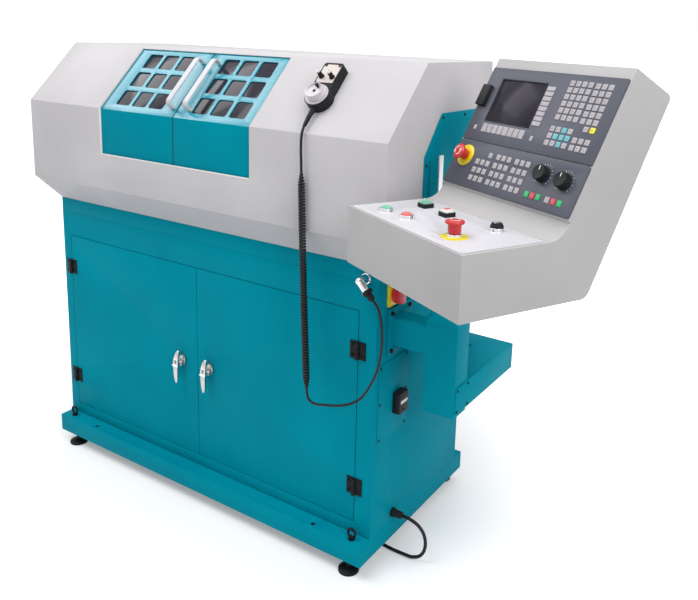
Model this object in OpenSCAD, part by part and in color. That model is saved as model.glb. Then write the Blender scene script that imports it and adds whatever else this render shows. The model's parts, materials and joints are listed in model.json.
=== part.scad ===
// CNC turning lathe: floor cabinet, sliding guard enclosure and a swivelling control console.
// Millimetres, +Z up, front towards -Y, origin on the floor under the middle of the cabinet.

/* [Cabinet] */
// Width of the cabinet and its plinth
cab_w = 1300; // [1240:10:1400]
// Depth of the cabinet
cab_d = 510; // [490:10:560]
// Height of the cabinet body above the plinth
cab_h = 744; // [730:2:780]
// Sheet thickness of the cabinet
cab_t = 3; // [2:0.5:5]
// Height of the separate band on top of the cabinet
band_h = 47; // [40:1:60]
// Height of the plinth frame
plinth_h = 58; // [50:1:70]
// Width of the plinth's ledge before and behind the cabinet
ledge = 48; // [44:1:70]
// Free height under the plinth, taken up by the feet
foot_h = 45; // [35:1:60]
// Diameter of a foot pad
foot_d = 60; // [40:1:70]

/* [Cabinet doors] */
// Width of one door leaf
door_w = 600; // [570:2:606]
// Height of the cabinet front above the doors
door_head = 84; // [70:1:120]
// Depth of the folded door pan
door_t = 20; // [12:1:28]
// Gap round each door leaf
door_gap = 2; // [1.5:0.5:4]
// Middle of the door pair, left of the cabinet's middle
door_mid = -9; // [-12:1:0]
// Height of the lower door edge above the plinth
door_sill = 38; // [34:1:60]
// Side of a square hinge
hinge_s = 50; // [40:1:60]
// Length of a latch lever
latch_l = 104; // [90:1:130]

/* [Enclosure] */
// Width of the enclosure
enc_w = 1406; // [1380:2:1440]
// Sheet thickness of the enclosure
enc_t = 3; // [2:0.5:4]
// How far the enclosure's front stands before the cabinet
enc_over = 61; // [50:1:75]
// Height of the sloping skirt below the front face
skirt_h = 78; // [60:1:90]
// Height of the upright front face
front_h = 255; // [240:1:280]
// Depth of the sloping window face, seen from above
slope_run = 180; // [165:1:190]
// Height of the sloping window face
slope_rise = 189; // [180:1:205]

/* [Guard doors] */
// Left edge of the guard opening
open_left = -354; // [-370:1:-345]
// Line where the two guard doors meet
open_mid = -36; // [-40:1:-30]
// Right edge of the guard opening
open_right = 262; // [255:1:275]
// Lower edge of the guard opening above the skirt
open_sill = 114; // [105:1:130]
// Width of one window pane
pane_w = 60; // [50:1:64]
// Height of one window pane along the slope
pane_h = 58; // [50:1:62]

/* [Console] */
// Width of the console
con_w = 440; // [430:1:460]
// How far the shelf's front middle stands beyond the enclosure's end
con_out = 168; // [162:1:187]
// How far the shelf's front middle stands before the enclosure's front
con_fore = 216; // [209:1:234]
// Turn of the console towards the operator
con_yaw = -26.8; // [-30:0.1:-25]
// Height of the shelf above the floor
shelf_z = 1092; // [1085:1:1110]
// Height of the shelf's front face
shelf_h = 134; // [126:1:140]
// Sheet thickness of the console
con_t = 4; // [3:0.5:6]
// Thickness of the operator panels
panel_t = 4; // [3:0.5:5]
// Height of the machine panel along the slant
mcp_h = 114; // [110:1:118]
// Height of the operator panel along the slant
op_h = 194; // [188:1:200]
// Side of the console's carrying post, across
post_w = 94; // [84:1:100]
// Side of the console's carrying post, front to back
post_d = 70; // [60:1:80]
// Diameter of the swivel pin
swivel_d = 40; // [30:1:50]

/* [Spindle and slides] */
// Height of the spindle axis above the band
axis_h = 236; // [225:1:250]
// Diameter of the spindle in its bearing
spindle_d = 60; // [50:1:70]
// Diameter of the chuck
chuck_d = 160; // [130:1:180]
// Height of the bed above the band
bed_h = 96; // [85:1:100]
// Diameter of the spindle pulley
pulley_d = 140; // [120:1:160]
// Diameter of the motor pulley
motor_pulley_d = 100; // [80:1:120]

/* [Hidden] */
$fn = 48;

// Colours of the finishes
teal = "#00889A";
grey = "#D5D3D4";
panel_grey = "#5F606C";
black = "#26272B";
steel = "#B9BCC0";
iron = "#7C8388";
yellow = "#F2E230";
red = "#D4363F";

// Clearances
run = 0.3;
fit = 0.05;

// Levels and faces of the cabinet
z_plinth = foot_h;
z_cab = z_plinth + plinth_h;
z_band = z_cab + cab_h;
z_enc = z_band + band_h;
y_front = -cab_d / 2;
y_back = cab_d / 2;
x_side = cab_w / 2;
plinth_t = 5;
y_ledge = y_front - ledge;
foot_x = x_side - 55;
foot_y = cab_d / 2 + 20;
foot_stem_d = 16;
foot_pad_h = 14;
eye_x = x_side - 45;
eye_y = cab_d / 2 + 25;
eye_bar = 7;
eye_d = 31;
eye_collar_h = 6;
hole_x = 475;
hole_d = 14;
hole_y = cab_d / 2 + 30;

// Cabinet doors
z_door = z_cab + door_sill;
door_h = cab_h - door_sill - door_head;
hinge_t = 3;
hinge_pin_d = 6;
knuckle_d = 12;
hinge_y = y_front - knuckle_d / 2 - 0.5;
door_edges = [door_mid - door_gap / 2 - door_w, door_mid + door_gap / 2 + door_w];
hinge_inset = 110;
hinge_z = [z_door + hinge_inset, z_door + door_h - hinge_inset];
latch_z = z_door + door_h / 2 - 1;
latch_shaft_d = 16;
latch_inset = 69;
latch_x = [door_mid - latch_inset, door_mid + latch_inset - 19];

// Enclosure
y_enc = y_front - enc_over;
z_skirt = z_enc + skirt_h;
z_fold = z_skirt + front_h;
z_top = z_fold + slope_rise;
x_end = enc_w / 2;
slope_a = atan2(slope_rise, slope_run);
slope_l = norm([slope_run, slope_rise]);
open_t = slope_l - 11;
z_open = z_skirt + open_sill;
guard_in = enc_t + 1;
guard_t = 3;
guard_lap = 14;
guard_gap = 1;
window_t = 4;
seal_t = 0.1;
pane_x = 72;
pane_y = 75;
pane_r = 8;
pane_first_x = 60;
pane_first_y = 24;
rail_w = 14;
rail_h = 10;
guard_low = z_open - 8;

// Console, in its own turned frame: x across, y back from the shelf's front edge
con_x = x_end + con_out;
con_y = y_enc - con_fore;
shelf_d = 212;
pan_d = 262;
pan_z = shelf_z + 39;
pan_a = 62.9;
pan_l = 340;
top_l = 127;
con_bottom = shelf_z - shelf_h;
back_d = 329;
mcp_v = 3;
op_v = mcp_v + mcp_h + 3;
panel_w = con_w - 6;
pivot_u = -30;
pivot_d = 230;

// Console post and neck
post_x = x_side + 107;
post_y = y_front + 70;
post_z = z_band - 347;
post_top = post_z + 257;
post_t = 5;
arm_z = post_z + 160;
arm_h = 77;
arm_t = 8;
flange_y = post_y - 23;
flange_w = 117;
flange_z = arm_z - 26;
flange_h = 132;
swivel_flange_d = 120;
swivel_flange_h = 12;
swivel_pin_h = 34;
bolt_d = 12;
bolt_h = 7;
bolt_in = 13;

// Cable duct behind the post
duct_z = post_z + 8;
duct_h = 77;
duct_t = 2.5;
duct_back = y_back - 63;
duct_leg = 82;

// Spindle line
axis_y = 40;
axis_z = z_enc + axis_h;
motor_z = z_band - 287;
pulley_left = max(-x_end + 65, -x_side + 12);
pulley_x = [pulley_left, pulley_left + 30];
head_x = [pulley_x[1] + 8, pulley_x[1] + 168];
chuck_x = [head_x[1] + 8, head_x[1] + 80];
bed_x = [head_x[1] + 10, x_end - 63];
way_z = z_enc + bed_h;
belt_t = 6;
belt_slot = 84;

// Hand pendant on the slope, by its place along the slope and its height above it
function slope_point(x, t, h) = [x, y_enc + t * cos(slope_a) - h * sin(slope_a),
    z_fold + t * sin(slope_a) + h * cos(slope_a)];
pend_x = x_end - 253;
pend_t = [68, 214];
pend_w = 70;
pend_h = 30;
pend_boot = 26;

// Connector, gland and switch places
conn_x = x_side - 37;
conn_z = z_band + 11;
gland_y = y_front + 115;
gland_z = z_cab + 24;
gland_d = 24;
gland_l = 34;
elbow_out = 32;
elbow_l = 58;
switch_y = y_front + 77;
switch_z = z_band - 42;

// Cords: diameters and hand-chosen routes
cord_d = 7;
coil_od = 20;
mains_d = 10;
coil_x = 380;
coil_y = y_back + 145;
coil_r = 57;
coil_w = 40;
coil_h = 22;
plug_d = 52;
plug_gap = 36;
pend_out = slope_point(pend_x, pend_t[0] - pend_boot, pend_h / 2);
coil_top = pend_out + [3, -32, -136];
upper_route = [for (p = [[0, 0, 0], [0, -9, -9], [0, -21, -25], [0, -29, -46], [0, -31, -78], [2, -32, -108],
    [3, -32, -136]]) pend_out + p];
conn_out = [conn_x, y_front - elbow_out, conn_z] + elbow_l * [sin(45), 0, -sin(45)];
coil_end = [conn_out[0] - 174, coil_top[1], conn_out[2] - 281];
coil_route = [for (f = [0, 0.2, 0.4, 0.6, 0.8, 1])
    coil_top + f * (coil_end - coil_top) - [8 * f * (1 - f), 0, 0]];
lower_route = concat([coil_end], [for (p = [[-168, -43, -305], [-149, -40, -315], [-118, -35, -312],
    [-72, -27, -303], [-35, -19, -286], [-6, -13, -256], [22, -7, -195], [34, -4, -135], [33, -2, -82],
    [25, 0, -37], [14, 0, -14], [0, 0, 0]]) conn_out + p]);
gland_out = [x_side + gland_l, gland_y, gland_z];
floor_z = mains_d / 2 + 1;
coil_side = coil_x + coil_r + coil_w / 2 - mains_d / 2;
coil_in = [coil_side, coil_y - 20, floor_z];
mains_route = concat([for (p = [[0, 0, 0], [16, 0, 0], [40, 0, -4], [61, 0, -15], [75, 0, -34], [80, 0, -60],
    [75, 0, -86], [61, 0, -106], [40, 0, -117], [16, 0, -120]]) gland_out + p],
    [[x_side - 20, gland_y + 2, floor_z], [x_side - 80, gland_y + 22, floor_z]],
    [[x_side - 124, gland_y + 80, floor_z]],
    [for (p = [[54, -300, 0], [18, -140, 0], [4, -60, 0], [0, 0, 0]]) coil_in + p]);

// Shapes used by several pieces
module box(x, y, z) {
    translate([x[0], y[0], z[0]]) cube([x[1] - x[0], y[1] - y[0], z[1] - z[0]]);
}
module along_x(x0, x1) {
    translate([x0, 0, 0]) rotate([90, 0, 90]) linear_extrude(x1 - x0) children();
}
module along_y(y0, y1) {
    translate([0, y1, 0]) rotate([90, 0, 0]) linear_extrude(y1 - y0) children();
}
module rod_x(d, x0, x1) {
    translate([x0, 0, 0]) rotate([0, 90, 0]) cylinder(d = d, h = x1 - x0);
}
module rod_y(d, y0, y1) {
    translate([0, y1, 0]) rotate([90, 0, 0]) cylinder(d = d, h = y1 - y0);
}
module rounded(w, h, r) {
    square([w - 2 * r, h], center = true);
    square([w, h - 2 * r], center = true);
    for (sx = [-1, 1], sy = [-1, 1]) translate([sx * (w / 2 - r), sy * (h / 2 - r)]) circle(r);
}
module on_slope() {
    translate([0, y_enc, z_fold]) rotate([slope_a, 0, 0]) children();
}
module at_console() {
    translate([con_x, con_y, 0]) rotate([0, 0, con_yaw]) children();
}
module on_panel() {
    at_console() translate([0, pan_d, pan_z]) rotate([pan_a, 0, 0]) children();
}

// A round cord swept through its route, smoothed between the points
function blend(a, b, c, d, t) = 0.5 * (2 * b + (c - a) * t + (2 * a - 5 * b + 4 * c - d) * t * t
    + (3 * b - a - 3 * c + d) * t * t * t);
function smooth(route, steps) = let (n = len(route) - 1) concat(
    [for (i = [0 : n - 1], s = [0 : steps - 1])
        blend(route[max(i - 1, 0)], route[i], route[i + 1], route[min(i + 2, n)], s / steps)],
    [route[n]]);
function unit(v) = v / norm(v);
function heading(path, i) = unit(path[min(i + 1, len(path) - 1)] - path[max(i - 1, 0)]);
module cord(route, d, side, steps = 3, sides = 8) {
    path = smooth(route, steps);
    n = len(path);
    points = [for (i = [0 : n - 1]) let (t = heading(path, i), a = unit(cross(t, side)), b = cross(t, a))
        for (k = [0 : sides - 1]) path[i] + d / 2 * (cos(360 * k / sides) * a + sin(360 * k / sides) * b)];
    first = [for (k = [0 : sides - 1]) k];
    last = [for (k = [sides - 1 : -1 : 0]) (n - 1) * sides + k];
    walls = [for (i = [0 : n - 2], k = [0 : sides - 1], half = [0, 1])
        let (a = i * sides + k, b = i * sides + (k + 1) % sides)
        half == 0 ? [a, a + sides, b] : [b, a + sides, b + sides]];
    polyhedron(points, concat([first], walls, [last]));
}

// Base
module base_plinth() {
    color(teal) difference() {
        box([-x_side, x_side], [y_ledge, -y_ledge], [z_plinth, z_cab]);
        box([-x_side + plinth_t, x_side - plinth_t], [y_ledge + plinth_t, -y_ledge - plinth_t],
            [z_plinth - 1, z_cab - plinth_t]);
        for (x = [-hole_x, hole_x], y = [-hole_y, hole_y]) translate([x, y, z_plinth])
            cylinder(d = hole_d, h = plinth_h + 1);
    }
}
module levelling_feet() {
    color(black) for (x = [-foot_x, foot_x], y = [-foot_y, foot_y]) translate([x, y, 0]) {
        rotate_extrude() polygon([[0, 0], [foot_d / 2, 0], [foot_d / 2, foot_pad_h / 2],
            [foot_d / 4, foot_pad_h], [0, foot_pad_h]]);
        cylinder(d = foot_stem_d, h = z_cab - plinth_t);
        translate([0, 0, z_plinth + 4]) cylinder(d = 1.9 * foot_stem_d, h = foot_stem_d * 0.8, $fn = 6);
    }
}
module lifting_eyes() {
    color(black) for (x = [-eye_x, eye_x], y = [-eye_y, eye_y]) translate([x, y, z_cab]) {
        cylinder(d = eye_d * 0.6, h = eye_collar_h);
        translate([0, 0, eye_collar_h + eye_d / 2 - 1.5]) rotate([90, 0, 0])
            rotate_extrude() translate([(eye_d - eye_bar) / 2, 0]) circle(d = eye_bar, $fn = 24);
    }
}

// Cabinet
module cabinet_shell() {
    opening = [door_edges[0] - door_gap, door_edges[1] + door_gap];
    mullion = 26;
    color(teal) difference() {
        box([-x_side, x_side], [y_front, y_back], [z_cab, z_band]);
        difference() {
            box([-x_side + cab_t, x_side - cab_t], [y_front + cab_t, y_back - cab_t],
                [z_cab + cab_t, z_band + 1]);
            box([door_mid - mullion / 2, door_mid + mullion / 2], [y_front, y_front + door_t + 2 * mullion],
                [z_cab, z_band]);
        }
        box(opening, [y_front - 1, y_front + door_t + 4], [z_door - door_gap, z_door + door_h + door_gap]);
        translate([x_side - 20, gland_y, gland_z]) rod_x(gland_d * 0.7, 0, 40);
    }
}
module top_frame() {
    color(teal) difference() {
        box([-x_side, x_side], [y_front, y_back], [z_band, z_enc]);
        box([-x_side + cab_t, x_side - cab_t], [y_front + cab_t, y_back - cab_t],
            [z_band - 1, z_enc - 2 * cab_t]);
        box([pulley_x[0] - 4, pulley_x[1] + 4], [axis_y - belt_slot, axis_y + belt_slot],
            [z_band, z_enc + 1]);
    }
}

// Hinges: the frame leaf carries the outer knuckles, the door leaf the middle one and the pin
module hinge_leaf(side, frame) {
    knuckle = hinge_s / 3;
    for (z = hinge_z) translate([door_edges[side > 0 ? 1 : 0] + side * door_gap / 2, 0, z]) {
        dir = frame ? side : -side;
        near = dir * (knuckle_d / 2 + 2 * run);
        far = dir * hinge_s / 2;
        web = dir * (knuckle_d / 2 + 1);
        box([min(near, far), max(near, far)], [y_front - hinge_t, y_front], [-hinge_s / 2, hinge_s / 2]);
        for (k = frame ? [-1, 1] : [0]) translate([0, hinge_y, (k - 0.5) * knuckle + run]) difference() {
            union() {
                cylinder(d = knuckle_d, h = knuckle - 2 * run);
                box([min(0, web), max(0, web)], [-0.5, y_front - hinge_y], [0, knuckle - 2 * run]);
            }
            if (frame) translate([0, 0, -1]) cylinder(d = hinge_pin_d + 2 * fit, h = knuckle + 2);
        }
        if (!frame) translate([0, hinge_y, -hinge_s / 2]) cylinder(d = hinge_pin_d, h = hinge_s);
    }
}
module hinge_frame_leaves() {
    color(black) for (side = [-1, 1]) hinge_leaf(side, true);
}
module cabinet_door(side) {
    edge = door_edges[side > 0 ? 1 : 0];
    x = side < 0 ? [edge, edge + door_w] : [edge - door_w, edge];
    color(teal) difference() {
        box(x, [y_front, y_front + door_t], [z_door, z_door + door_h]);
        box([x[0] + cab_t, x[1] - cab_t], [y_front + cab_t, y_front + door_t + 1],
            [z_door + cab_t, z_door + door_h - cab_t]);
        translate([latch_x[side > 0 ? 1 : 0], 0, latch_z])
            rod_y(latch_shaft_d + 2 * fit, y_front - 1, y_front + door_t);
    }
    color(black) hinge_leaf(side, false);
}
module left_cabinet_door() { cabinet_door(-1); }
module right_cabinet_door() { cabinet_door(1); }

// Swing lever latch: hub, slanted neck, bowed and tapered lever with a padlock eye, shaft and cam
module latch(x) {
    hub_d = 42;
    hub_h = 8;
    top = 31;
    low = top - latch_l;
    half = [[3, top], [7, top - 9], [9, 8], [10.5, -12], [9.5, -17], [7, low + 13], [4, low + 3], [1.5, low]];
    face = concat(half, [for (i = [len(half) - 1 : -1 : 0]) [-half[i][0], half[i][1]]]);
    bow = [[16, top], [22, top - 7], [27, 8], [29.5, -13], [29, -40], [27, low], [25, low], [20.5, -40],
        [20.5, -13], [18, 8], [12, top - 9], [11, top - 2]];
    color(steel) translate([x, y_front, latch_z]) {
        rod_y(hub_d, -hub_h - run, -run);
        translate([0, -hub_h + 3, 2]) rotate([43, 0, 0]) cylinder(d = 15, h = 18);
        translate([0, 0, -11]) rod_y(13, -hub_h - 7, -hub_h);
        difference() {
            union() {
                intersection() {
                    along_y(-40, 0) polygon(face);
                    along_x(-20, 20) polygon([for (p = bow) [-p[0], p[1]]]);
                }
                box([-11.5, 11.5], [-31, -20], [-17, -12]);
            }
            translate([0, 0, -2]) rod_y(11, -40, -15);
        }
        rod_y(latch_shaft_d, -2, door_t + 2);
        box([-10, 10], [door_t - 3, door_t + 1], [-latch_shaft_d / 2, 34]);
    }
}
module left_latch() { latch(latch_x[0]); }
module right_latch() { latch(latch_x[1]); }

// Enclosure outline at a given inset: front section and end section
function fold_z(g) = z_fold + g * (tan(slope_a) - 1 / cos(slope_a));
function slope_edge(t, g) = let (p = slope_point(0, t, -g)) [p[1], p[2]];
function slope_top_y(g) = y_enc + (slope_rise - g * (1 - cos(slope_a))) / tan(slope_a) + g * sin(slope_a);
function front_section(g, low) = [[y_front + g, low], [y_front + g, z_enc], [y_enc + g, z_skirt],
    [y_enc + g, fold_z(g)], [slope_top_y(g), z_top - g], [y_back - g, z_top - g], [y_back - g, low]];
function end_section(g, low) = [[-x_side + g, low], [-x_side + g, z_enc], [-x_end + g, z_skirt],
    [-x_end + g, z_top + 9], [x_end - g, z_top + 9], [x_end - g, z_skirt], [x_side - g, z_enc],
    [x_side - g, low]];
module enclosure_body(g, low) {
    intersection() {
        along_x(-x_end - 1, x_end + 1) polygon(front_section(g, low));
        along_y(y_enc - 1, y_back + 1) polygon(end_section(g, low));
    }
}
module enclosure_shell() {
    color(grey) difference() {
        enclosure_body(0, z_enc);
        difference() {
            enclosure_body(enc_t, z_enc - 5);
            box([-x_end, x_end], [y_enc, y_enc + enc_t + rail_w],
                [guard_low - rail_h - run, guard_low - run]);
        }
        along_x(open_left, open_right) polygon([[y_enc - 1, z_open], [y_enc - 1, fold_z(-1)],
            slope_edge(open_t, -1), slope_edge(open_t, enc_t + 1), [y_enc + enc_t + 1, fold_z(enc_t + 1)],
            [y_enc + enc_t + 1, z_open]]);
    }
}
module end_panel() {
    front = y_front + 116;
    back = y_back - 50;
    low = z_skirt + 28;
    high = low + front_h + 27;
    border = 27;
    gauge_w = 22;
    gauge_h = 108;
    color(teal) {
        along_x(x_end, x_end + 2)
            polygon([[front, low], [front, high - 109], [front + 86, high], [back, high], [back, low]]);
        along_x(x_end, x_end + 6)
            polygon([[front + border, low + border], [front + border, high - 118],
                [front + 99, high - border],
                [back - border, high - border], [back - border, low + border]]);
    }
    color(steel) along_x(x_end + 6, x_end + 10) translate([front + 81, low + 117])
        rounded(gauge_w, gauge_h, 4);
}

// Guard doors: a bent sheet behind the skin, three by three panes and a strip handle
function guard_section(g, t) = [[y_enc + g, guard_low], [y_enc + g, fold_z(g)],
    slope_edge(open_t + 6, g), slope_edge(open_t + 6, g + t),
    [y_enc + g + t, fold_z(g + t)], [y_enc + g + t, guard_low]];
module panes(side, grow) {
    for (i = [0 : 2], j = [0 : 2]) translate([open_mid + side * (pane_first_x + pane_w / 2 + i * pane_x),
        pane_first_y + pane_h / 2 + j * pane_y]) rounded(pane_w + grow, pane_h + grow, pane_r);
}
handle_at = [-18, 50];
module guard_handle(x) {
    bar_w = 18;
    bar_t = 5;
    out = 27;
    span = [30, 212];
    bend = 14;
    on_slope() translate([x - bar_w / 2, 0, 0]) rotate([90, 0, 90]) linear_extrude(bar_w) difference() {
        translate([(span[0] + span[1]) / 2, out / 2 - bend]) rounded(span[1] - span[0], out + 2 * bend, bend);
        translate([(span[0] + span[1]) / 2, out / 2 - bend - bar_t])
            rounded(span[1] - span[0] - 2 * bar_t, out + 2 * bend, bend - bar_t);
        translate([0, -4 * bend - guard_in - 1]) square([2 * span[1], 4 * bend]);
    }
}
module guard_door(side) {
    edge = side < 0 ? open_left - guard_lap : open_right + guard_lap;
    meet = open_mid + side * guard_gap / 2;
    x = [min(edge, meet), max(edge, meet)];
    color(teal) difference() {
        along_x(x[0], x[1]) polygon(guard_section(guard_in, guard_t));
        on_slope() translate([0, 0, -30]) linear_extrude(30) panes(side, 0);
    }
    color(steel) guard_handle(open_mid + handle_at[side > 0 ? 1 : 0]);
}
module left_guard_door() { guard_door(-1); }
module right_guard_door() { guard_door(1); }
module window_sheet(side) {
    near = open_mid + side * (pane_first_x - 12);
    far = open_mid + side * (pane_first_x + 2 * pane_x + pane_w + 12);
    color([0.24, 0.25, 0.32, 0.7]) on_slope()
        translate([0, 0, -guard_in - guard_t - seal_t - window_t])
        box([min(near, far), max(near, far)], [pane_first_y - 8, pane_first_y + 2 * pane_y + pane_h + 8],
            [0, window_t]);
}
module left_window() { window_sheet(-1); }
module right_window() { window_sheet(1); }

// Right side of the cabinet: cover, socket, main switch and gland
cover_t = 2;
cover_y = y_front + 92;
cover_w = 154;
cover_z = z_band - 461;
cover_h = 228;
module side_cover() {
    color(teal) box([x_side, x_side + cover_t], [cover_y - cover_w / 2, cover_y + cover_w / 2],
        [cover_z, cover_z + cover_h]);
}
module socket_box() {
    color(black) along_x(x_side + cover_t, x_side + 26) translate([cover_y + 21, cover_z + 94])
        rounded(48, 62, 4);
}
module switch_plate() {
    plate = 66;
    color(yellow) difference() {
        along_x(x_side, x_side + 6) translate([switch_y, switch_z]) rounded(plate, plate, 6);
        translate([0, switch_y, switch_z]) rod_x(12 + 2 * fit, x_side + 1, x_side + 10);
    }
}
module main_switch_knob() {
    color(red) {
        along_x(x_side + 6 + run, x_side + 34) translate([switch_y, switch_z]) rounded(22, 48, 5);
        translate([0, switch_y, switch_z]) rod_x(44, x_side + 6 + run, x_side + 16);
        translate([0, switch_y, switch_z]) rod_x(12, x_side + 2, x_side + 16);
    }
}
module cable_gland() {
    color(black) translate([0, gland_y, gland_z]) {
        rod_x(gland_d * 0.7 - 2 * fit, x_side - 8, x_side);
        translate([x_side, 0, 0]) rotate([0, 90, 0]) cylinder(d = gland_d + 4, h = 10, $fn = 6);
        rod_x(gland_d - 3, x_side + 10, x_side + gland_l);
    }
}

// Console arm: bolted flange, arm, post, leaning neck and the swivel's seat
function console_point(u, d) = [con_x + u * cos(con_yaw) - d * sin(con_yaw),
    con_y + u * sin(con_yaw) + d * cos(con_yaw)];
swivel = console_point(pivot_u, pivot_d);
swivel_z = con_bottom - run;
module console_arm() {
    neck_top = 84;
    neck_t = 6;
    color(teal) difference() {
        union() {
            box([x_side, x_side + arm_t], [flange_y, flange_y + flange_w], [flange_z, flange_z + flange_h]);
            box([x_side, post_x + 1], [post_y, post_y + post_d - 6], [arm_z, arm_z + arm_h]);
            box([post_x, post_x + post_w], [post_y, post_y + post_d], [post_z, post_top]);
            hull() {
                box([post_x, post_x + post_w], [post_y, post_y + post_d], [post_top - neck_t, post_top]);
                translate([swivel[0], swivel[1], swivel_z - swivel_flange_h - neck_t]) rotate([0, 0, con_yaw])
                    box([-neck_top / 2, neck_top / 2], [-neck_top / 2, neck_top / 2], [0, neck_t]);
            }
            translate([swivel[0], swivel[1], swivel_z - swivel_flange_h])
                cylinder(d = swivel_flange_d, h = swivel_flange_h);
            translate([swivel[0], swivel[1], swivel_z]) cylinder(d = swivel_d, h = swivel_pin_h);
        }
        box([post_x + post_t, post_x + post_w - post_t], [post_y + post_t, post_y + post_d - post_t],
            [post_z - 1, post_top - 40]);
    }
    color(black) for (y = [bolt_in, flange_w - bolt_in], z = [bolt_in, flange_h - bolt_in])
        translate([0, flange_y + y, flange_z + z]) rod_x(bolt_d, x_side + arm_t, x_side + arm_t + bolt_h);
}
module cable_duct() {
    x_out = post_x + post_w;
    y_post = post_y + post_d;
    color(teal) {
        difference() {
            union() {
                box([post_x, x_out], [y_post, duct_back], [duct_z, duct_z + duct_h]);
                box([x_side, x_out], [duct_back - duct_leg, duct_back], [duct_z, duct_z + duct_h]);
            }
            box([post_x + duct_t, x_out - duct_t], [y_post + duct_t, duct_back - duct_t],
                [duct_z - 1, duct_z + duct_h - duct_t]);
            box([x_side - 1, x_out - duct_t], [duct_back - duct_leg + duct_t, duct_back - duct_t],
                [duct_z - 1, duct_z + duct_h - duct_t]);
        }
        box([x_out, x_out + duct_t], [post_y + 4, duct_back], [duct_z, duct_z + duct_h]);
    }
}

// Console housing: one section drawn across, hollow, with a boss for the swivel
function on_slant(v, out) = [pan_d + v * cos(pan_a) - out * sin(pan_a),
    pan_z + v * sin(pan_a) + out * cos(pan_a)];
fold_r = 60;
function fold_arc(g, n) = let (c = [shelf_d, shelf_z + fold_r]) [for (i = [0 : n])
    c + (fold_r + g) * [sin(pan_a * i / n), -cos(pan_a * i / n)]];
heel_r = 25;
back_lean = let (c = on_slant(pan_l, -top_l)) atan2(c[0] - back_d, c[1] - con_bottom);
heel = [back_d - heel_r / tan(45 + back_lean / 2), con_bottom + heel_r];
function heel_arc(g, n) = [for (i = [0 : n]) let (a = back_lean + (90 - back_lean) * i / n)
    heel + (heel_r - g) * [cos(a), -sin(a)]];
function console_section(g) = let (a = on_slant(0, -g), b = on_slant(pan_l - g, -g),
    c = on_slant(pan_l - g, g - top_l)) concat(
    [[g, con_bottom + g], [g, shelf_z - g]], fold_arc(g, 8), [a, b, c], heel_arc(g, 5));
module console_section_x(g) {
    at_console() along_x(-con_w / 2 + g, con_w / 2 - g) polygon(console_section(g));
}
boss_d = 74;
boss_h = 30;
// Controls: place across, place back or up, and bore
shelf_bores = [[-132, 49], [-59, 56], [-131, 154], [-39, 149], [112, 60], [110, 169]];
panel_bores = [[102, 78], [168, 74]];
panel_stop = [-173, 78.6];
bore_d = 22;
stem_d = bore_d - 2 * fit;
module console_housing() {
    color(grey) difference() {
        union() {
            difference() {
                console_section_x(0);
                console_section_x(con_t);
            }
            at_console() translate([pivot_u, pivot_d, con_bottom]) cylinder(d = boss_d, h = boss_h);
        }
        at_console() translate([pivot_u, pivot_d, con_bottom - 1])
            cylinder(d = swivel_d + 2 * fit, h = swivel_pin_h + 10);
        at_console() for (p = shelf_bores) translate([p[0], p[1], shelf_z - 20]) cylinder(d = bore_d, h = 40);
        on_panel() for (p = concat(panel_bores, [panel_stop])) translate([p[0], p[1], -20])
            cylinder(d = bore_d, h = 40);
    }
}
// Shelf plate with its bezel rings, square shrouds and the stop's collar
plate_t = 2;
plate_margin = 8;
bezel_d = 30;
bezel_h = 8;
shroud_s = 29;
shroud_in = 25;
shroud_h = 10;
collar_d = 56;
collar_h = 2;
stop_ring_h = 5;
round_bezels = [0, 1, 5];
square_shrouds = [2, 3];
stop_at = 4;
module shelf_plate() {
    plate_d = shelf_d - 10;
    color(grey) at_console() translate([0, 0, shelf_z]) difference() {
        union() {
            translate([0, plate_d / 2 + plate_margin / 2, 0]) linear_extrude(plate_t)
                rounded(con_w - 2 * plate_margin, plate_d, 6);
            for (i = round_bezels) translate(shelf_bores[i]) cylinder(d = bezel_d, h = plate_t + bezel_h);
            for (i = square_shrouds) translate(shelf_bores[i]) linear_extrude(plate_t + shroud_h)
                rounded(shroud_s, shroud_s, 3);
            translate(shelf_bores[stop_at]) cylinder(d = collar_d, h = plate_t + collar_h);
            translate(shelf_bores[stop_at]) cylinder(d = bezel_d, h = plate_t + collar_h + stop_ring_h);
        }
        for (p = shelf_bores) translate([p[0], p[1], -1]) cylinder(d = bore_d, h = 40);
        for (i = square_shrouds) translate([shelf_bores[i][0], shelf_bores[i][1], plate_t + 2])
            linear_extrude(shroud_h) rounded(shroud_in, shroud_in, 2);
    }
}
module panel_sheet(v, h) {
    translate([0, v + h / 2, 0]) linear_extrude(panel_t) rounded(panel_w, h, 4);
}
module operator_panel() {
    color(panel_grey) on_panel() difference() {
        panel_sheet(op_v, op_h);
        translate([screen_u, screen_v, panel_t - 2]) linear_extrude(4) square([screen_w, screen_h]);
    }
    color(black) on_panel() box([-213, -184], [op_v + 88, op_v + 142], [panel_t, panel_t + 12]);
}
screen_u = -160;
screen_v = op_v + 56;
screen_w = 152;
screen_h = 107;
module screen() {
    color("#30323C") on_panel() translate([screen_u + screen_w / 2, screen_v + screen_h / 2, panel_t - 2])
        linear_extrude(1.5) square([screen_w - 2 * run, screen_h - 2 * run], center = true);
}
module machine_panel() {
    color(panel_grey) on_panel() difference() {
        union() {
            panel_sheet(mcp_v, mcp_h);
            translate([panel_stop[0], panel_stop[1], 0]) cylinder(d = collar_d - 2, h = panel_t + collar_h);
        }
        for (p = concat(panel_bores, [panel_stop])) translate([p[0], p[1], -1]) cylinder(d = bore_d, h = 20);
    }
}
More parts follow.
